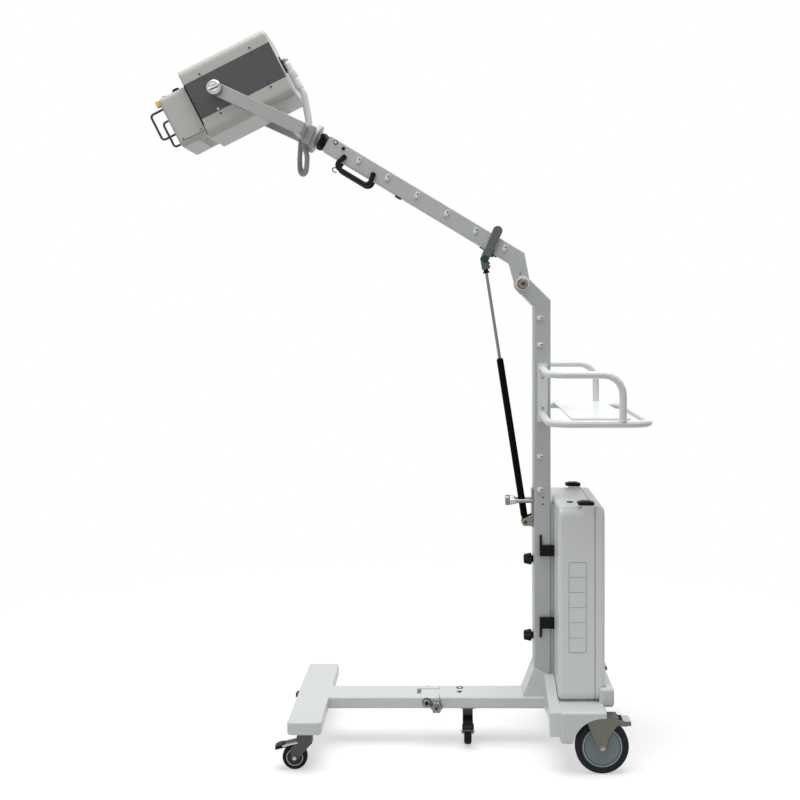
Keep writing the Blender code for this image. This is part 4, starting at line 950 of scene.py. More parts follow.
# %% Tilt knob faces
KNOB_FACE = local_box("tilt_knob_far", HEAD)[1].y
GRIP_LEAN, TROUGH_OFF = math.radians(4), 0.0056
KNOB_RIM = ((0.0140, 0), (0.0186, 0), (0.0190, 0.0006), (0.0186, 0.0016), (0.0172, 0.0018), (0.0146, 0.0006))
YOKE_EYE_X, YOKE_FLANK = -0.334, 0.1361
for side, sign in SIDES:
    face = on_flank(HEAD, sign, 0, KNOB_FACE + FLUSH, 0)
    lean = Matrix.Rotation(sign * GRIP_LEAN, 4, "Z")
    bar = slab(round_rect(0.0345, 0.0075, 0.0030), 0, 0.0052, 0.0018, 3)
    piece(f"tilt_knob_face_{side}", [(lathe(KNOB_RIM, 40, closed=True), UP), (bar, lean)], KNOB_METAL,
          "head", face)
    troughs = [(slab(round_rect(0.0250, 0.0022, 0.0010), 0, 0.0008), lean @ moved(0, s * TROUGH_OFF))
               for s in (-1, 1)]
    piece(f"tilt_knob_shade_{side}", troughs, DARK_STEEL, "head", face)
    piece(f"tilt_bush_{side}", ring_shape(0.0190, 0.0215, 0.0012), BOLT_STEEL, "yoke",
          on_flank(SWIVEL, sign, YOKE_EYE_X, YOKE_FLANK, 0))
print("tilt knobs faced, knob face at", round(KNOB_FACE, 4))

# %% [markdown]
# The collimator shapes the beam. Its front has a clear window in a dark frame, and beside it a small brass
# coloured aiming lamp and two wire bails. The window is a thin slab of glass on its own, because a painted
# square would not mirror the room.

# %% Collimator front
COL_LOW, COL_HIGH = local_box("collimator", HEAD)
BAIL_LOW, BAIL_HIGH = local_box("collimator_bail_near", HEAD)
BAIL_WIRE, BAIL_Y = 0.0038, 0.074
COL_FRONT, AHEAD = COL_LOW.x - FLUSH, (-1, 0, 0)
window_frame = facing(HEAD, (COL_FRONT, 0, (COL_LOW.z + COL_HIGH.z) / 2), AHEAD)
piece("window_bezel", slab(round_rect(0.116, 0.116, 0.006), 0, 0.0018, 0.0006), BLACK, "head", window_frame)
piece("beam_window", slab(round_rect(0.100, 0.100, 0.004), 0.0019, 0.0032, 0.0004), WINDOW, "head",
      window_frame)
aimer = [(slab(round_rect(0.018, 0.018, 0.002), 0, 0.013, 0.0012), UP),
         (ring_shape(0.0030, 0.0060, 0.0010), moved(0, 0, 0.0131))]
piece("aiming_lamp", aimer, LAMP_GOLD, "head", facing(HEAD, (COL_FRONT, -0.080, 0.050), AHEAD))
for side, sign in SIDES:
    feet = [(ring_shape(0.0040, 0.0070, 0.0026, 0.0008), facing(HEAD, (COL_FRONT, sign * BAIL_Y, v), AHEAD))
            for v in (BAIL_LOW.z + BAIL_WIRE, BAIL_HIGH.z - BAIL_WIRE)]
    piece(f"bail_feet_{side}", feet, BAIL_GREY, "head")
print("collimator front", round(COL_LOW.x, 4))

# %% [markdown]
# Two dark knobs with finger lobes stand on the collimator's top. Below, a seam with two screws on each flank
# shows where its floor is let in, the floor has a vented plate, and a dark joint parts the head from the
# collimator. The vents are not cut: they are grey bars on the plate, painted shade for the openings. A seam
# could be cut into the solid, but a thin dark bead reads the same and costs less.

# %% Collimator knobs, seam and floor
TOP_KNOBS = (("light_button", -0.163, -0.060, 0.0090, 0.008), ("field_knob", -0.121, -0.060, 0.0125, 0.013))
for name, u, y, radius, height in TOP_KNOBS:
    rows = [(0, 0), (radius * 0.8, 0), (radius, 0.002), (radius, height * 0.7), (radius * 0.86, height),
            (0, height)]
    piece(name, lathe(rows, 40, lobes=10, depth=0.07), BLACK, "head",
          facing(HEAD, (u, y, COL_HIGH.z + FLUSH), (0, 0, 1)))
SEAM_V, SEAM_R = COL_LOW.z + 0.019, 0.0006
SEAM = ((COL_LOW.x + 0.012, SEAM_V), (COL_LOW.x + 0.040, SEAM_V - 0.003),
        (COL_HIGH.x - 0.004, SEAM_V - 0.003))
SEAM_SCREWS = ((COL_LOW.x + 0.018, SEAM_V + 0.004), (COL_HIGH.x - 0.010, SEAM_V + 0.005))
for side, sign in SIDES:
    y = sign * (-COL_LOW.y + FLUSH)
    line = [HEAD @ Vector((u, y, v)) for u, v in SEAM]
    piece(f"collimator_seam_{side}", pipe(line, SEAM_R, 8), SEAL, "head")
    screws(f"collimator_screws_{side}", HEAD, [(u, y, v) for u, v in SEAM_SCREWS], 0.0022, DARK_STEEL,
           "head", 0.0014, (0, sign, 0))
VENT_SLOTS, SLOT_START, SLOT_PITCH = 11, -0.060, 0.012
foot = facing(HEAD, (COL_HIGH.x - 0.022, 0, COL_LOW.z - FLUSH), (0, 0, -1))
piece("collimator_floor_plate", slab(round_rect(0.026, 0.150, 0.003), 0, 0.0012, 0.0004), HEAD_PAINT,
      "head", foot)
# Each vent is a grey bar of painted shade on the plate, not a cut.
vent_shade = [(slab(round_rect(0.018, 0.0022, 0.0010), 0.0013, 0.0017), moved(0, SLOT_START + SLOT_PITCH * i))
         for i in range(VENT_SLOTS)]
piece("collimator_vent_shade", vent_shade, GLAND_GREY, "head", foot, slot="grey_paint")
for side, sign in SIDES:
    upright = Matrix.Rotation(math.radians(90 * -sign), 4, "X")
    spot = moved(HEAD_LOW.x + 0.0022, sign * HEAD_FLANK, -0.012)
    strip = slab(round_rect(0.0030, 0.138, 0.0012), 0, 0.0004)
    piece(f"collimator_joint_{side}", [(strip, spot @ upright)], SEAL, "head", HEAD)
print("collimator finished, seam at", round(SEAM_V, 4))

# %% [markdown]
# The back of the head is closed by a plate, whose rolled rim shows as a fine line. The plug on it is a white
# screw connector with a ribbed grip and a pale ring at its upper end. The ribs are bars set round a circle,
# so that the grip's outline is ribbed too.

# %% Head back
HEAD_MID = (HEAD_LOW.z + HEAD_HIGH.z) / 2
back = facing(HEAD, (HEAD_HIGH.x + FLUSH, 0, HEAD_MID), (1, 0, 0))
path = [back @ Vector((x, y, 0.0006)) for x, y in round_rect(0.206, 0.218, 0.022)]
piece("back_plate_rim", pipe(path, 0.0008, 8, closed=True), HEAD_PAINT, "head")
PLUG_RIBS, GRIP_R, GRIP_START, RING_START = 22, 0.0123, 0.050, 0.008
plug = facing(HEAD, PLUG_TOP, PLUG_WAY)
ribs = [(slab(round_rect(0.0016, 0.0016, 0.0005), 0, 0.022, 0.0003),
         Matrix.Rotation(2 * math.pi * i / PLUG_RIBS, 4, "Z") @ moved(GRIP_R)) for i in range(PLUG_RIBS)]
piece("plug_ribs", ribs, SHEATH_WHITE, "head", plug @ moved(0, 0, GRIP_START))
piece("plug_ring", ring_shape(0.0097, 0.0112, 0.004, 0.0008), RING_GREY, "head",
      plug @ moved(0, 0, RING_START), slot="cable_white")
print("head back finished, plate middle", round(HEAD_MID, 4))

# %% [markdown]
# Small white clips hold the cable loom along the boom and the mast. Each is a rounded tab with a dark screw
# near one end. One tab could be copied as linked objects, but the export counts each as a piece, so all the
# tabs of a member are one. They keep low, because the strut's lever swings past them.

# %% Cable clips
CLIP_LENGTH, CLIP_WIDTH, CLIP_THICK, CLIP_CORNER = 0.021, 0.0135, 0.0036, 0.0052
PIVOT = joint_spot("boom_lift")
BOOM_SIDE, MAST_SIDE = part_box("boom")[1].y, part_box("mast")[1].y
BOOM_CLIPS, BOOM_CLIP_Z = (0.5900, 0.4839, 0.3751, 0.2639, 0.1564, 0.0488), 0.0065
MAST_CLIPS, MAST_CLIP_X = (1.3507, 1.2665, 0.9128, 0.8081), -0.0075


def clips(name, frames, body):
    """Clips as two pieces, tabs and screws. Each frame's X runs across the member."""
    outline = round_rect(CLIP_LENGTH, CLIP_WIDTH, CLIP_CORNER)
    piece(f"{name}_tabs", [(slab(outline, 0, CLIP_THICK, 0.0009), f) for f in frames], CLIP_WHITE, body)
    off = moved(CLIP_LENGTH * 0.24, 0, CLIP_THICK + FLUSH)
    piece(f"{name}_screws", [(screw_shape(0.0030, 0.0012), f @ off) for f in frames], DARK_STEEL, body)
    print(name, len(frames))


across = KNEE.to_3x3() @ Vector((0, 0, 1))
outward = Vector((0, -1, 0))
clips("boom_clip", [from_axes(across, outward.cross(across), outward,
                              KNEE @ Vector((station, BOOM_SIDE + FLUSH, BOOM_CLIP_Z)))
                    for station in BOOM_CLIPS], "boom")
clips("mast_clip", [on_flank(STAND, -1, MAST_CLIP_X, MAST_SIDE + FLUSH, height) for height in MAST_CLIPS],
      "base")

# %% [markdown]
# The boom's near flank also carries the bolts of its end, of the swivel's stop and of the strut's bracket,
# and a small black clip is on its underside. Each is a turned or cut shape on the boom's frame, given as
# the distance from the knee and the height above the boom's middle line.

# %% Boom fittings
BOOM_FACE, BOOM_OUT, BOOM_UNDER = BOOM_SIDE + FLUSH, (0, 1, 0), -0.027
END_BOLT_X, END_BOLT_Z, WASHER_THICK = 0.6832, 0.0174, 0.0010
END_SCREW = (END_BOLT_X, BOOM_FACE + WASHER_THICK + FLUSH, END_BOLT_Z)
BOOM_SCREWS = (
    ("boom_end_screw", (END_SCREW,), 0.0050, KNOB_METAL, 0.0020),
    ("boom_stop_screw", ((0.6521, BOOM_FACE, 0.0132),), 0.0058, BLACK, 0.0026),
    ("boom_bracket_screws", ((0.0806, BOOM_FACE, -0.0093), (0.0760, BOOM_FACE, -0.0205)), 0.0042, DARK_STEEL,
     0.0024),
)
piece("boom_end_washer", ring_shape(0.0030, 0.0078, WASHER_THICK), DARK_STEEL, "boom",
      facing(KNEE, (END_BOLT_X, BOOM_FACE, END_BOLT_Z), BOOM_OUT))
for name, spots, radius, look, height in BOOM_SCREWS:
    screws(name, KNEE, spots, radius, look, "boom", height, BOOM_OUT)
screws("boom_pivot_screw", UP, [(PIVOT.x - 0.0080, -BOOM_FACE, PIVOT.z + 0.0337)], 0.0026, DARK_STEEL,
       "boom", 0.0010)
piece("boom_under_clip", slab(round_rect(0.022, 0.012, 0.003), 0, 0.0055, 0.0012), BLACK, "boom",
      facing(KNEE, (0.4245, 0.010, BOOM_UNDER - FLUSH), (0, 0, -1)))
LUG_ROWS = ((0, -0.006), (0.0070, -0.006), (0.0078, -0.005), (0.0078, 0.005), (0.0070, 0.006), (0, 0.006))
piece("eye_bracket_lug", lathe(LUG_ROWS, 28), DARK_STEEL, "boom",
      facing(KNEE, (0.0724, 0.018, -0.0310), BOOM_OUT))
print("boom fittings placed")

# %% [markdown]
# A bent wire hook hangs under the boom's end for a cable. It is one pipe along a smooth route, like the
# hose, because wire is bent and never cut to shape.

# %% Hook under the boom
HOOK_SPOT = (0.6407, 0.0, -0.0300)
HOOK_BENDS = ((0, 0.004), (0, -0.010), (0.001, -0.016), (0.006, -0.021), (0.011, -0.024), (0.0125, -0.029),
              (0.008, -0.033), (0.001, -0.034), (-0.005, -0.031))
hook_points, hook_length = smooth_route([(x, 0, z) for x, z in HOOK_BENDS], 0.002)
piece("boom_hook", pipe(hook_points, 0.0018, 10), DARK_STEEL, "boom", KNEE @ moved(*HOOK_SPOT))
print("hook wire", round(hook_length, 3), "m")

# %% [markdown]
# The boom turns on one bolt. Between its head and the mast's cheek sits a bronze washer on a white plastic
# one, which shows as a thin bright ring with a brown crescent inside. The rings could be one part with two
# colours, but real washers are loose and lie a little off centre, and separate rings can do the same.

# %% Boom pivot
WASHER_OFF, WASHER_UP = -0.0014, 0.0009
BOLT_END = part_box("pivot_bolt")[1].y + FLUSH
for side, sign in SIDES:
    cheek = on_flank(moved(*PIVOT), sign, 0, MAST_SIDE + FLUSH, 0)
    piece(f"pivot_slip_ring_{side}", ring_shape(0.0150, 0.0208, 0.0008), CLIP_WHITE, "base", cheek)
    piece(f"pivot_washer_{side}", ring_shape(0.0120, 0.0170, 0.0014), BRONZE, "base",
          moved(WASHER_OFF) @ cheek @ moved(0, 0, WASHER_UP))
    bolt_face = on_flank(moved(*PIVOT), sign, 0, BOLT_END, 0)
    piece(f"pivot_bolt_head_{side}", slab(hexagon(0.0262), -0.0052, 0.0030, 0.0022, 3), BRACKET_STEEL,
          "base", bolt_face)
    # The socket is a dark steel rim round a flat dark disc, which is painted shade for its hollow.
    socket = [(ring_shape(0.0052, 0.0068, 0.0005), moved(0, 0, 0.0031)),
              (lathe([(0, 0.0031), (0.0050, 0.0031), (0.0048, 0.0033), (0, 0.0032)], 24), UP)]
    piece(f"pivot_bolt_socket_rim_and_shade_{side}", socket, DARK_STEEL, "base", bolt_face)
print("pivot at", [round(v, 4) for v in PIVOT])

# %% [markdown]
# The gas strut's rod ends in a cast block round its eye, with a black nut under it. CAD has them as one
# piece. Colours could be given to its faces, but here the same form comes apart by material: polished stem,
# grey block, black collar. The release lever's lower end has a green cap with a screw.

# %% Strut rod, block and lever cap
EYE_R, EYE_HALF, BLOCK_FOOT, ARC_STEPS = 0.0125, 0.011, -0.034, 14
ROD_LOW, ROD_HIGH = local_box("strut_rod", STRUT)
EYE_Z = ROD_HIGH.z - EYE_R
STEM_END = ROD_LOW.z - EYE_Z
EYE = STRUT @ moved(0, 0, EYE_Z)
stem = lathe([(0.0046, STEM_END), (0.005, STEM_END + 0.0006), (0.005, -0.030)], 24)
piece("strut_stem", stem, ROD_CHROME, "strut_rod", EYE, instead_of=("strut_rod",))
arc = [math.pi * i / ARC_STEPS for i in range(ARC_STEPS + 1)]
outline = [(-EYE_R, BLOCK_FOOT), (EYE_R, BLOCK_FOOT)]
outline += [(EYE_R * math.cos(a), EYE_R * math.sin(a)) for a in arc]
on_edge = Matrix.Rotation(math.radians(90), 4, "X")
block = [(slab(outline, -EYE_HALF, EYE_HALF, 0.0016, 3), on_edge)]
piece("strut_eye_block", block, CAST_GREY, "strut_rod", EYE)
NUT_ROWS = ((0.0052, -0.047), (0.0099, -0.047), (0.0105, -0.0463), (0.0105, -0.0417), (0.0098, -0.041),
            (0.0080, -0.0400), (0.0080, -0.0335), (0.0052, -0.0335))
piece("strut_lock_nut", lathe(NUT_ROWS, 32, closed=True, lobes=6, depth=0.05), BLACK, "strut_rod", EYE)
CAP_ROWS = ((0, 0), (0.0118, 0), (0.0122, 0.0006), (0.0112, 0.0020), (0.0050, 0.0026), (0, 0.0026))
cap_frame = facing(EYE, (0, local_box("strut_lever", EYE)[0].y - FLUSH, -0.003), (0, -1, 0))
piece("lever_green_cap", lathe(CAP_ROWS, 32), HUB_GREEN, "strut_rod", cap_frame)
piece("lever_cap_screw", screw_shape(0.0026, 0.0010), DARK_STEEL, "strut_rod",
      cap_frame @ moved(0, 0, 0.0027))
set_spots = [(EYE_R + FLUSH, -0.004, z) for z in (-0.016, -0.027)]
screws("eye_set_screws", EYE, set_spots, 0.0036, DARK_STEEL, "strut_rod", 0.0030, (1, 0, 0))
barrel_top = local_box("strut_barrel", STRUT)[1].z
piece("strut_wiper", ring_shape(0.0053, 0.0088, 0.0024, 0.0008), SEAL, "strut_barrel",
      STRUT @ moved(0, 0, barrel_top + FLUSH))
print("strut eye", round(EYE_Z, 4), "m from its foot")

# %% [markdown]
# The strut's foot turns on a bolt between two ears, with an olive brass washer on each. Above it a round
# steel knob ends a guide with two bright sleeves. They are turned shapes, as they would be on a lathe.

# %% Strut foot and guide knob
FOOT, GUIDE_LIFT, GUIDE_Y, EAR_FACE = joint_spot("strut_tilt"), 0.068, 0.0195, 0.0185
GUIDE_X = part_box("strut_bracket")[0].x
GUIDE_Z = FOOT.z + GUIDE_LIFT
for side, sign in SIDES:
    ear = on_flank(moved(*FOOT), sign, 0, EAR_FACE + FLUSH, 0)
    piece(f"foot_washer_{side}", ring_shape(0.0045, 0.0105, 0.0012), OLIVE_BRASS, "base", ear)
    piece(f"foot_bolt_{side}", slab(hexagon(0.0120), 0.0013, 0.0052, 0.0008), DARK_STEEL, "base", ear)
KNOB_ROWS = ((0, 0), (0.0130, 0), (0.0160, 0.0012), (0.0165, 0.0030), (0.0165, 0.0135), (0.0155, 0.0150),
             (0.0060, 0.0160), (0, 0.0160))
piece("guide_end_knob", lathe(KNOB_ROWS, 48), BRACKET_STEEL, "base",
      facing(UP, (GUIDE_X + 0.0140, 0, GUIDE_Z), (-1, 0, 0)))
SLEEVE_ROWS = ((0.0066, 0), (0.0118, 0), (0.0122, 0.0010), (0.0095, 0.0190), (0.0066, 0.0195))
for side, sign in SIDES:
    piece(f"guide_sleeve_{side}", lathe(SLEEVE_ROWS, 32, closed=True), KNOB_METAL, "base",
          facing(UP, (GUIDE_X + 0.0125, sign * GUIDE_Y, GUIDE_Z), (1, 0, 0)))
print("guide front at x", round(GUIDE_X, 4))

# %% [markdown]
# The mast carries a few small fittings: two screws on each rail plate, two small holes, and the two black
# star knobs that draw the case's brackets tight. The holes are not cut, since nothing shows inside them:
# each is a dark dot, painted shade for the hole. A star knob is turned with a radius that rises and falls,
# so it has soft lobes all round.

# %% Mast fittings
PLATE_FACE, RAIL_SCREW_Z = 0.0513, (1.1618, 1.0666)
HOLE_X, HOLE_Z = 0.0014, (0.7828, 0.7616)
for side, sign in SIDES:
    screws(f"rail_plate_screws_{side}", STAND, [(0, sign * (PLATE_FACE + FLUSH), z) for z in RAIL_SCREW_Z],
           0.0042, BOLT_STEEL, "base", 0.0022, (0, sign, 0))
    # Each hole is a dark dot of painted shade, not a cut.
    hole_shade = [(lathe([(0, 0), (0.0026, 0), (0.0028, 0.0002), (0, 0.0002)], 20),
              on_flank(STAND, sign, HOLE_X, MAST_SIDE + FLUSH, z)) for z in HOLE_Z]
    piece(f"mast_holes_{side}", hole_shade, SEAL, "base")
STAR_ROWS = ((0, 0.0002), (0.0100, 0.0002), (0.0120, 0.0040), (0.0188, 0.0060), (0.0190, 0.0100),
             (0.0172, 0.0180), (0.0150, 0.0285), (0.0125, 0.0302), (0, 0.0308))
for name in ("mast_knob_upper", "mast_knob_lower"):
    spot = middle(name)
    spot.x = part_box(name)[1].x
    piece(f"{name}_star", lathe(STAR_ROWS, 60, lobes=6, depth=0.22), BLACK, "base",
          facing(UP, spot, (-1, 0, 0)), instead_of=(name,))
print("mast fittings placed")

# %% [markdown]
# Each rail is welded to a plate on the mast's flank and to its post. A weld bead is a slightly lumpy ring.
# Noise could make it lumpy, but a radius that swings round the turn looks like the welder's even strokes.

# %% Rail welds
RAIL_R, RAIL_Z_LOW, RAIL_Z_HIGH, RAIL_HALF, POST_X = 0.011, 1.043, 1.187, 0.300, 0.215


def weld(radius, height):
    rows = [(radius, 0), (radius + height, 0), (radius + height * 0.8, height * 0.6), (radius, height)]
    return lathe(rows, 40, closed=True, lobes=18, depth=0.02)


for side, sign in SIDES:
    beads = [(weld(RAIL_R, 0.0022), on_flank(STAND, sign, 0, PLATE_FACE + FLUSH, z))
             for z in (RAIL_Z_LOW, RAIL_Z_HIGH)]
    post_foot = (POST_X, sign * RAIL_HALF, RAIL_Z_LOW + RAIL_R * 0.86)
    beads.append((weld(RAIL_R, 0.0020), facing(STAND, post_foot, (0, 0, 1))))
    piece(f"rail_welds_{side}", beads, RAIL_PAINT, "base")
print("rail welds placed")

# %% [markdown]
# The generator's case is a deep shell and a shallow rear cover that meet on a rubber seal. The seal shows as
# a thin dark line all the way round, so it is a thin closed pipe between the two. On the near flank is a
# plain card with five dividers, made of a thin film and raised lines. A rail behind the mast carries the
# case, and a small grommet closes a hole in its top.

# %% Case seal, card and rail
CASE_LOW, CASE_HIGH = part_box("case_shell")
LID_LOW, LID_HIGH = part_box("case_lid")
SEAM_X, SEAL_SUNK = (CASE_HIGH.x + LID_LOW.x) / 2, 0.0006
case_mid = Vector((SEAM_X, 0, (LID_LOW.z + LID_HIGH.z) / 2))
seal_line = round_rect(LID_HIGH.y - LID_LOW.y - SEAL_SUNK, LID_HIGH.z - LID_LOW.z - SEAL_SUNK, 0.0277, 8)
seal_path = [case_mid + Vector((0, a, b)) for a, b in seal_line]
piece("case_seal", pipe(seal_path, 0.0009, 8, closed=True), SEAL, "base")

CARD_X, CARD_Z, CARD_WIDTH, CARD_HEIGHT, CARD_FIELDS = 0.0931, 0.4775, 0.055, 0.275, 6
FILM, LINE_Z, DIVIDER_END = 0.0004, 0.0005, CARD_WIDTH / 2 - 0.004
card = facing(STAND, (CARD_X, CASE_LOW.y - FLUSH, CARD_Z), (0, -1, 0))
frame_line = [(x, y, LINE_Z) for x, y in round_rect(CARD_WIDTH - 0.003, CARD_HEIGHT - 0.003, 0.0045)]
lines = [(pipe(frame_line, 0.0005, 6, closed=True), UP)]
for i in range(1, CARD_FIELDS):
    y = -CARD_HEIGHT / 2 + CARD_HEIGHT * i / CARD_FIELDS
    lines.append((pipe([(-DIVIDER_END, y, LINE_Z), (DIVIDER_END, y, LINE_Z)], 0.0004, 6), UP))
piece("card_film", slab(round_rect(CARD_WIDTH, CARD_HEIGHT, 0.005), 0, FILM), LABEL_FILM, "base", card)
piece("card_lines", lines, INK, "base", card)

GROMMET_ROWS = ((0, 0), (0.010, 0), (0.0105, 0.0012), (0.0085, 0.0022), (0, 0.0016))
piece("case_top_grommet", lathe(GROMMET_ROWS, 28), BLACK, "base",
      facing(STAND, (0.081, -0.100, LID_HIGH.z + FLUSH), (0, 0, 1)))
HANGER_LOW, HANGER_HIGH, HANGER_GAP, HANGER_WIDTH = 0.205, 0.755, 0.0004, 0.078
hanger_depth = CASE_LOW.x - MAST_X - MAST_HALF - 2 * HANGER_GAP
hanger = slab(round_rect(hanger_depth, HANGER_WIDTH, 0.0015), HANGER_LOW, HANGER_HIGH, 0.0010)
piece("case_hanger_rail", hanger, MAST_PAINT, "base",
      STAND @ moved(MAST_HALF + HANGER_GAP + hanger_depth / 2))
print("case seam at x", round(SEAM_X, 4), "top", round(LID_HIGH.z, 4))

# %% [markdown]
# Beside the mid caster the spine's top carries two small dark marks, a ring and a triangle. They are thin
# raised shapes, because a picture on the paint would need unwrapping for two marks. The leg's fold is drawn
# tight by a lobed steel knob beside its bolt, and the bolt's own head has a turned rim and a hexagon socket.
# Neither the knob's socket nor the bolt's is cut: each is a flat dark hexagon, painted shade for its hollow.

# %% Spine marks and fold knob
SPINE_TOP, MARK_X, MARK_THICK = 0.1548, -0.2610, 0.0004
MARKS = (("ring", ring_shape(0.0068, 0.0118, MARK_THICK, 0.0001), 0.030),
         ("triangle", slab([(-0.011, 0.009), (-0.002, -0.012), (0.010, 0.009)], 0, MARK_THICK), -0.008))
for name, shape, y in MARKS:
    piece(f"lock_mark_{name}", shape, MARK_INK, "base", STAND @ moved(MARK_X, y, SPINE_TOP + FLUSH))
knob_spot = middle("fold_knob")
knob_spot.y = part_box("fold_knob")[1].y
KNOB_NECK = ((0, 0.0002), (0.0090, 0.0002), (0.0090, 0.0068), (0, 0.0068))
KNOB_GRIP = ((0, 0.0070), (0.0160, 0.0070), (0.0188, 0.0100), (0.0188, 0.0190), (0.0160, 0.0225), (0, 0.0225))
knob = [(lathe(KNOB_NECK, 28), UP), (lathe(KNOB_GRIP, 60, lobes=6, depth=0.16), UP),
        (slab(hexagon(0.0190), 0.0226, 0.0262, 0.0012), UP)]
knob_face = facing(UP, knob_spot, (0, -1, 0))
piece("fold_knob_lobed", knob, BRACKET_STEEL, "front_leg", knob_face, instead_of=("fold_knob",))
# The knob's socket is a flat dark hexagon, painted shade for its hollow.
piece("fold_knob_socket_shade", slab(hexagon(0.0110), 0.0263, 0.0266), DARK_STEEL, "front_leg", knob_face)
FOLD = joint_spot("leg_fold")
FOLD_RIM = ((0.0062, 0.0), (0.0120, 0.0), (0.0124, 0.0012), (0.0100, 0.0030), (0.0062, 0.0032))
for side, sign in SIDES:
    face = on_flank(moved(*FOLD), sign, 0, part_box("fold_bolt")[1].y + FLUSH, 0)
    piece(f"fold_bolt_rim_{side}", lathe(FOLD_RIM, 40, closed=True), BRACKET_STEEL, "front_leg", face)
    # The bolt's socket is a flat black hexagon, painted shade for its hollow.
    piece(f"fold_bolt_socket_shade_{side}", slab(hexagon(0.0100), 0, 0.0008), BLACK, "front_leg", face)
print("fold bolt at", [round(v, 4) for v in FOLD])

# %% [markdown]
# A rear wheel is a grooved rubber tyre on a grey nylon disc, with a thin pale ring between them. Each is
# turned from its own profile and stands for the plain CAD wheel, with the same radius and width. The groove
# in the disc just inside the pale ring is not cut: a thin ring in a darker copy of the disc's grey is painted
# shade for it. A profile is the same on both flanks, so only half of it is written down.

# %% Rear wheels
REAR_R, REAR_HALF, REAR_RIM, WHEEL_SIDES = 0.080, 0.017, 0.060, 96
REAR_TYRE = ((REAR_RIM + 0.0006, 0.0155), (0.0680, REAR_HALF), (0.0745, 0.0164), (0.0782, 0.0140),
             (0.0796, 0.0105), (REAR_R, 0.0070), (REAR_R, 0.0048), (0.0788, 0.0044), (0.0788, 0.0032),
             (REAR_R, 0.0028))
REAR_DISC = ((0.0056, 0.0172), (0.0120, 0.0172), (0.0135, 0.0150), (0.0170, 0.0138), (0.0480, 0.0138),
             (0.0510, 0.0152), (0.0560, 0.0156), (REAR_RIM, 0.0150))
REAR_RING = ((0.0552, 0.0157), (0.0572, 0.0157), (0.0570, 0.0162), (0.0554, 0.0162))
REAR_GROOVE_SHADE = ((0.0520, 0.0153), (0.0548, 0.0156), (0.0547, 0.0159), (0.0522, 0.0157))


def mirrored(rows, sides):
    """A closed turned shape from one half of a profile, the other half at minus its height."""
    other = [(radius, -height) for radius, height in reversed(rows)]
    return lathe([*rows, *other], sides, closed=True)


def on_both_flanks(rows, sides):
    """The same small closed profile turned on each flank of a wheel."""
    return [(lathe([(radius, s * height) for radius, height in rows], sides, closed=True), UP)
            for s in (1, -1)]


for side, sign in SIDES:
    body = f"rear_wheel_{side}"
    hub = facing(UP, middle(f"{body}_tyre"), (0, sign, 0))
    piece(f"{body}_tread", mirrored(REAR_TYRE, WHEEL_SIDES), TYRE, body, hub, instead_of=(f"{body}_tyre",))
    piece(f"{body}_disc", mirrored(REAR_DISC, WHEEL_SIDES), DISC_GREY, body, hub, instead_of=(f"{body}_hub",))
    piece(f"{body}_ring", on_both_flanks(REAR_RING, WHEEL_SIDES), RING_GREY, body, hub)
    # The groove is a thin dark ring of painted shade, not a cut.
    piece(f"{body}_groove_shade", on_both_flanks(REAR_GROOVE_SHADE, WHEEL_SIDES), DISC_GROOVE_SHADE, body, hub)
print("rear wheels", REAR_R, "m radius")

# %% [markdown]
# A rear fork holds its axle with a washer and a nut on each cheek, and its brake pedal ends in a pale pad.
# The pedal itself is the CAD's, so only these are added on top.

# %% Rear fork nuts and brake pads
FORK_LOW, FORK_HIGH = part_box("rear_fork_far")
CHEEK_IN, PAD_AHEAD, PAD_Z = 0.0038, 0.072, 0.1566
for side, sign in SIDES:
    wheel_mid = middle(f"rear_wheel_{side}_tyre")
    for name, face, way in (("outer", FORK_HIGH.y, 1), ("inner", FORK_LOW.y, -1)):
        spot = (wheel_mid.x, sign * (face - way * CHEEK_IN), wheel_mid.z)
        nut = [(ring_shape(0.0052, 0.0076, 0.0008), UP), (slab(hexagon(0.0100), 0.0009, 0.0044, 0.0006), UP)]
        piece(f"rear_axle_nut_{side}_{name}", nut, BOLT_STEEL, "base", facing(UP, spot, (0, sign * way, 0)))
    piece(f"rear_brake_pad_{side}", slab(round_rect(0.022, 0.046, 0.004), 0, 0.0035, 0.0012, 3), RING_GREY,
          "base", moved(wheel_mid.x + PAD_AHEAD, wheel_mid.y, PAD_Z))
print("fork box", [round(v, 4) for v in FORK_LOW], [round(v, 4) for v in FORK_HIGH])

# %% [markdown]
# A swivel caster has a black tyre on a dark hub with a pale ring, and an axle nut on each side of its fork.
# The three casters are alike, so one loop turns them all. A table says which way each axle points and which
# body carries the caster's plate.

# %% Casters
CASTER_R, CASTER_RIM, FORK_OUTER = 0.0375, 0.0255, 0.016
CASTERS = (("front_caster_near", (0, -1, 0), "front_leg"), ("front_caster_far", (0, -1, 0), "front_leg"),
           ("mid_caster", (1, 0, 0), "base"))
CASTER_TREAD = ((CASTER_RIM + 0.0006, 0.0108), (0.0300, 0.0118), (0.0335, 0.0114), (0.0360, 0.0094),
                (0.0372, 0.0062), (CASTER_R, 0.0025))
CASTER_HUB = ((0.0048, 0.0122), (0.0080, 0.0122), (0.0090, 0.0092), (0.0205, 0.0088), (0.0215, 0.0104),
              (CASTER_RIM, 0.0106))
CASTER_RING = ((0.0226, 0.0107), (0.0252, 0.0107), (0.0250, 0.0114), (0.0228, 0.0114))
NUT_END = FORK_OUTER + 0.0040
TIP_START, TIP_END = NUT_END + FLUSH, NUT_END + 0.0016
AXLE_TIP = ((0, TIP_START), (0.0038, TIP_START), (0.0034, TIP_END), (0, TIP_END))
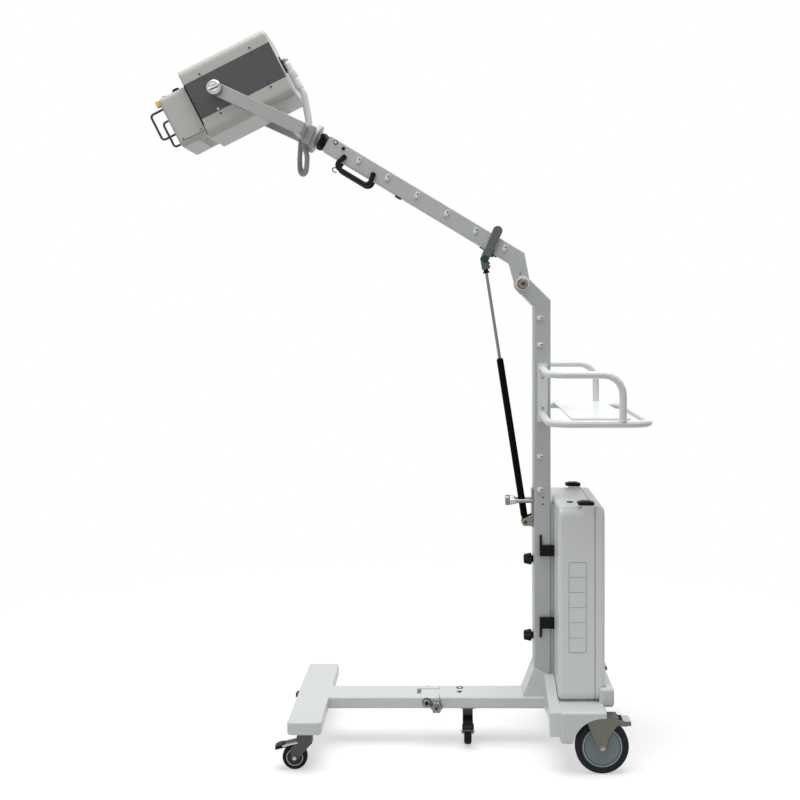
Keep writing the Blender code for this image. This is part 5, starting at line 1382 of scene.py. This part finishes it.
for name, axle, carrier in CASTERS:
    wheel = f"{name}_wheel"
    hub = facing(UP, middle(f"{name}_tyre"), axle)
    piece(f"{name}_tread", mirrored(CASTER_TREAD, 72), CASTER_TYRE, wheel, hub, instead_of=(f"{name}_tyre",))
    piece(f"{name}_disc", mirrored(CASTER_HUB, 64), HUB_BROWN, wheel, hub, instead_of=(f"{name}_hub",))
    piece(f"{name}_ring", on_both_flanks(CASTER_RING, 64), RING_GREY, wheel, hub)
    nuts = []
    for s in (-1, 1):
        outwards = facing(UP, (0, 0, 0), (0, 0, s))
        nuts.append((slab(hexagon(0.0110), FORK_OUTER + FLUSH, NUT_END, 0.0006), outwards))
        nuts.append((lathe(AXLE_TIP, 20), outwards))
    piece(f"{name}_axle_nuts", nuts, KNOB_METAL, name, hub)
print("casters", CASTER_R, "m radius")

# %% [markdown]
# Each caster's brake pedal has a rubber cap, and the front ones have a steel bar on each side. Where the
# fork meets its plate, a bright ring covers the swivel's balls. The mid caster has a wide dark steel dish
# round it, partly its plate and partly painted shade for the spine's underside above it. The cap leans with
# the pedal, so it is set on a sloped frame and not bent.

# %% Caster brakes and swivel dishes
FORK_ROOF, PEDAL_X, BAR_X = 0.1169 - 0.0379, -0.032 - 0.046, -0.047
PEDAL_SLOPE, BAR_SLOPE = math.atan2(0.008, 0.026), math.radians(14)
HEADINGS = {"front_caster_near": 0.0, "front_caster_far": 0.0, "mid_caster": math.radians(90)}
RACE_ROWS = ((0.0202, 0.1085), (0.0222, 0.1085), (0.0226, 0.1092), (0.0226, 0.1118), (0.0202, 0.1130))
# The dish is wider than the caster's plate; its outer part is painted shade for the spine's underside.
DISH_PLATE_AND_SHADE_ROWS = ((0.0228, 0.1092), (0.0250, 0.1092), (0.0500, 0.1150), (0.0500, 0.1171), (0.0430, 0.1171),
              (0.0228, 0.1120))


def swivel_frame(name):
    """Stands on the floor under a caster's swivel."""
    swivel = joint_spot(f"{name}_swivel")
    return moved(swivel.x, swivel.y)


for name, axle, carrier in CASTERS:
    fork = swivel_frame(name) @ Matrix.Rotation(HEADINGS[name], 4, "Z")
    slope = moved(PEDAL_X, 0, FORK_ROOF - 0.0072) @ Matrix.Rotation(-PEDAL_SLOPE, 4, "Y")
    cap = [(slab(round_rect(0.026, 0.037, 0.006), -0.0058, 0.0028, 0.0016, 3), slope)]
    piece(f"{name}_pedal_cap", cap, BLACK, name, fork)
    if name == "mid_caster":
        continue
    bars = []
    for s in (-1, 1):
        lean = Matrix.Rotation(-BAR_SLOPE, 4, "Y") @ Matrix.Rotation(math.radians(-90 * s), 4, "X")
        spot = moved(BAR_X, s * (FORK_OUTER + 0.0002), FORK_ROOF - 0.0010)
        bars.append((slab(round_rect(0.052, 0.0055, 0.0026), 0, 0.0016, 0.0004), spot @ lean))
    piece(f"{name}_brake_bars", bars, KNOB_METAL, name, fork)
for name, axle, carrier in CASTERS:
    piece(f"{name}_race_ring", lathe(RACE_ROWS, 48, closed=True), BRACKET_STEEL, carrier, swivel_frame(name))
# Dark dish: partly the plate, partly painted shade for the spine's underside.
piece("mid_caster_plate_and_shade", lathe(DISH_PLATE_AND_SHADE_ROWS, 56, closed=True), CASTER_STEEL, "base",
      swivel_frame("mid_caster"))
print("fork roof at z", round(FORK_ROOF, 4))
